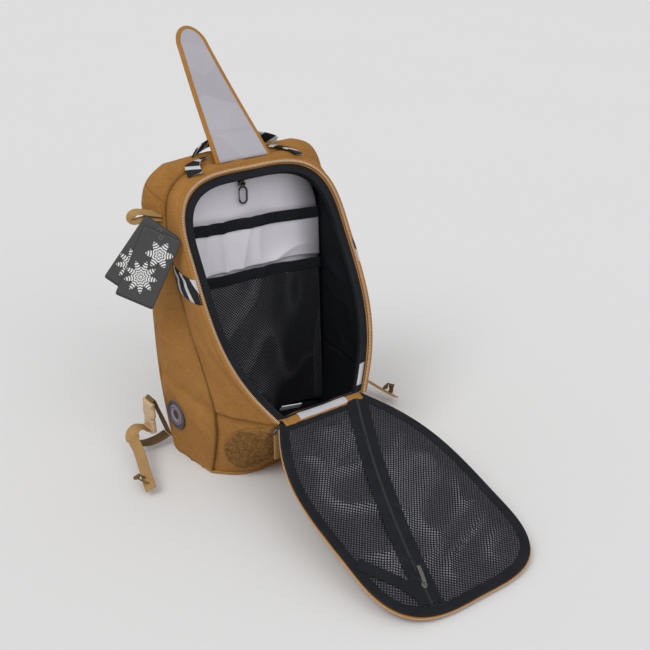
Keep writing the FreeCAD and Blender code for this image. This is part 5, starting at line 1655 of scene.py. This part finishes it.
def build_lower_straps():
    f = finishes()
    for side, name in ((-1, "left"), (1, "right")):
        flip = np.array([-side, 1, 1])
        plug = "plug_" + name
        low, high = box("buckle_socket_" + name)
        finish(rounded_block("buckle_socket_shell_" + name, low, high, 0.45,
                             lambda s: 0.86 + 0.14 * np.cos((s - 0.3) * 4.0) ** 2, axis=2),
               f["plastic"], nodes=["buckle_socket_" + name])
        bar = np.array([low[0] + high[0], low[1] + high[1], 0]) / 2 + [0, 0, high[2] - 0.003]
        ends = bar + np.linspace([0, -0.0165, 0.002], [0, 0.0165, 0.002], 16)
        finish(swept("buckle_socket_bar_" + name, ends, round_profile(0.0024, 10), (0, 0, 1)), f["plastic"])
        for k, shift in enumerate((-0.0155, 0.0155)):
            prong = smooth_curve([[bar[0], bar[1] + shift * spread, z] for spread, z in (
                (0.75, 0.0600), (1.0, 0.0680), (1.06, 0.0760), (0.8, 0.0810))], 30)
            finish(swept("buckle_prong_%s_%d" % (name, k), prong, band_profile(0.0046, 0.0034), (1, 0, 0)),
                   f["plastic"], plug)
        low, high = box("buckle_plug_" + name)
        high[2] = low[2] + 0.0255
        finish(rounded_block("buckle_plug_shell_" + name, low, high, 0.5,
                             lambda s: 0.98 - 0.10 * np.exp(-((s - 0.75) / 0.2) ** 2), axis=2),
               f["plastic"], plug, ["buckle_plug_" + name])
        for k, level in enumerate((0.0385, 0.0445)):
            ladder = np.stack([np.full(16, bar[0] + side * 0.0052), bar[1] + np.linspace(-0.0135, 0.0135, 16),
                               np.full(16, level)], 1)
            finish(swept("buckle_ladder_%s_%d" % (name, k), ladder, round_profile(0.0016, 8), (0, 0, 1)),
                   f["plastic"], plug)

        # anchor webbing, from the pack's back edge up into the socket
        anchor = np.array([[-0.1520, 0.100, 0.018], [-0.1585, 0.100, 0.038], [-0.1665, 0.100, 0.062],
                           [-0.1750, 0.100, 0.086], [-0.1815, 0.100, 0.0985], [-0.1862, 0.100, 0.0925]]) * flip
        anchor = swept("anchor_webbing_cloth_" + name, smooth_curve(anchor, 60),
                       band_profile(0.025, 0.0020, 0.0002), np.array([-0.9, 0, 0.3]) * flip)
        # The anchor, the strap and the keeper use the webbing darkened as painted shade.
        finish(anchor, f["webbing_dark"], nodes=["anchor_webbing_" + name])
        strap = np.array([[-0.1560, 0.100, 0.0200], [-0.1680, 0.100, 0.0160], [-0.1820, 0.100, 0.0138],
                          [-0.1980, 0.100, 0.0145], [-0.2130, 0.100, 0.0195]]) * flip
        strap = swept("strap_webbing_cloth_" + name, smooth_curve(strap, 60),
                      band_profile(0.024, 0.0020, 0.0002), (0, 0, 1))
        finish(strap, f["webbing_dark"], nodes=["strap_webbing_" + name])
        loop = np.array([[-0.1880, 0.100, 0.0400], [-0.1960, 0.100, 0.0435], [-0.2060, 0.099, 0.0500],
                         [-0.2170, 0.096, 0.0515], [-0.2255, 0.091, 0.0455], [-0.2270, 0.085, 0.0385]]) * flip
        finish(swept("strap_loop_cloth_" + name, smooth_curve(loop, 70), band_profile(0.024, 0.0020, 0.0003),
                     np.array([-0.3, -0.1, 0.9]) * flip), f["webbing"], plug,
               ["strap_loop_" + name])
        tail = np.array([[-0.2270, 0.086, 0.0395], [-0.2310, 0.060, 0.0345], [-0.2385, 0.030, 0.0270],
                         [-0.2470, 0.000, 0.0200], [-0.2560, -0.032, 0.0145]]) * flip
        path = smooth_curve(tail, 90)
        finish(swept("strap_tail_cloth_" + name, path, band_profile(0.019, 0.0020, 0.0005),
                     np.array([-0.55, -0.25, 0.8]) * flip), f["webbing"], plug,
               ["strap_tail_" + name])
        fold = smooth_curve(np.array([[-0.2530, -0.018, 0.0175], [-0.2600, -0.012, 0.0215],
                                      [-0.2660, -0.004, 0.0265], [-0.2630, 0.002, 0.0260],
                                      [-0.2520, -0.004, 0.0210]]) * flip, 50)
        keeper = swept("strap_keeper_" + name, fold, band_profile(0.012, 0.0016),
                       np.array([-0.2, 0.6, 0.7]) * flip)
        finish(keeper, f["webbing_dark"], plug)


# ---------------------------------------------------------------- stage

def build_stage():
    colours = bpy.context.scene.day_pack_colours
    n = 3
    x, y = np.meshgrid(np.linspace(-20, 20, n), np.linspace(-20, 20, n), indexing="ij")
    floor = make_object("studio_floor", np.stack([x, y, np.full((n, n), -0.0006)], -1), grid_faces(n, n))
    material, tree, shader = new_material("pale_floor", roughness=0.95)
    coloured(tree, shader, noise(tree, 1.2, 2.0), [(0.0, [c * 0.985 for c in colours.floor]),
                                                   (1.0, colours.floor)])
    floor.data.materials.append(material)

    scene = bpy.context.scene
    world = bpy.data.worlds.new("soft_room")
    world.use_nodes = True
    sky = world.node_tree.nodes["Background"]
    sky.inputs["Color"].default_value = (1.0, 1.0, 1.0, 1)
    sky.inputs["Strength"].default_value = 0.585
    scene.world = world
    for name, away, spread, power in (("key_light", (-0.80, -0.25, 1.0), 30.0, 1.10),
                                      ("front_light", (-0.10, -0.9, 0.75), 50.0, 0.80)):
        lamp = bpy.data.lights.new(name, "SUN")
        lamp.angle = math.radians(spread)
        lamp.energy = power
        made = bpy.data.objects.new(name, lamp)
        made.rotation_euler = Vector(away).to_track_quat("Z", "Y").to_euler()
        scene.collection.objects.link(made)
    lens = bpy.data.cameras.new("view")
    lens.sensor_width = 36.0
    lens.lens = 56.48
    lens.clip_start, lens.clip_end = 0.05, 60.0
    camera = bpy.data.objects.new("view", lens)
    camera.location = (-0.83945, -1.30332, 0.95158)
    back = Vector((-0.534, -0.730, 0.4258))
    camera.rotation_euler = (-back).to_track_quat("-Z", "Y").to_euler()
    scene.collection.objects.link(camera)
    scene.camera = camera
    scene.view_settings.view_transform = "Standard"


# ---------------------------------------------------------------- operators, panel, registration

def piece_operator(identifier, label, text, build):
    """An operator class that builds one group of pieces."""
    def execute(self, context):
        build()
        return {"FINISHED"}
    return type("DAYPACK_OT_" + identifier, (bpy.types.Operator,), {
        "bl_idname": "daypack." + identifier, "bl_label": label, "__doc__": text,
        "bl_options": {"REGISTER", "UNDO"}, "execute": execute})


OPERATORS = [piece_operator(*row) for row in (
    ("stage", "Stage", "Makes the floor, the soft lights and the camera", build_stage),
    ("shell", "Shell", "Makes the sewn shell panels with piping and stitching", build_shell),
    ("interior", "Interior", "Makes the lining, the pockets, the net and the key clip", build_interior),
    ("opening", "Opening", "Makes the main zip, the binding, the hinge web and the sliders", build_opening),
    ("lid", "Lid", "Makes the lid with its net and pocket zip", build_lid),
    ("tongue", "Tongue", "Makes the tongue flap and its root web", build_tongue),
    ("webbing", "Striped webbing", "Makes the grab handle and the striped lash webbing", build_webbing),
    ("cards", "Hang cards", "Makes the two hang cards and their ring", build_cards),
    ("fittings", "Fittings", "Makes the cable port, the loop patch and the small tabs", build_fittings),
    ("carrying_side", "Carrying side", "Makes the padded back, the shoulder straps and the chest strap",
     build_carrying_side),
    ("lower_straps", "Lower straps", "Makes the lower straps and their buckles", build_lower_straps),
)]


class DAYPACK_PT_pieces(bpy.types.Panel):
    """Buttons for each group of the day pack's pieces, and its sizes and colours"""
    bl_label = "Day pack"
    bl_idname = "DAYPACK_PT_pieces"
    bl_space_type = "VIEW_3D"
    bl_region_type = "UI"
    bl_category = "Day pack"

    def draw(self, context):
        for group in (context.scene.day_pack_sizes, context.scene.day_pack_colours):
            for name in group.bl_rna.properties.keys():
                if name not in ("rna_type", "name"):
                    self.layout.prop(group, name)
        for operator in OPERATORS:
            self.layout.operator(operator.bl_idname)


CLASSES = (DayPackSizes, DayPackColours, *OPERATORS, DAYPACK_PT_pieces)


def register():
    for each in CLASSES:
        bpy.utils.register_class(each)
    bpy.types.Scene.day_pack_sizes = PointerProperty(type=DayPackSizes)
    bpy.types.Scene.day_pack_colours = PointerProperty(type=DayPackColours)


def unregister():
    del bpy.types.Scene.day_pack_colours
    del bpy.types.Scene.day_pack_sizes
    for each in reversed(CLASSES):
        bpy.utils.unregister_class(each)


def main():
    """Registers the add-on, builds every group in order and writes the two boxes."""
    register()
    for operator in OPERATORS:
        getattr(bpy.ops.daypack, operator.bl_idname.split(".")[1])()


if __name__ == "__main__":
    main()
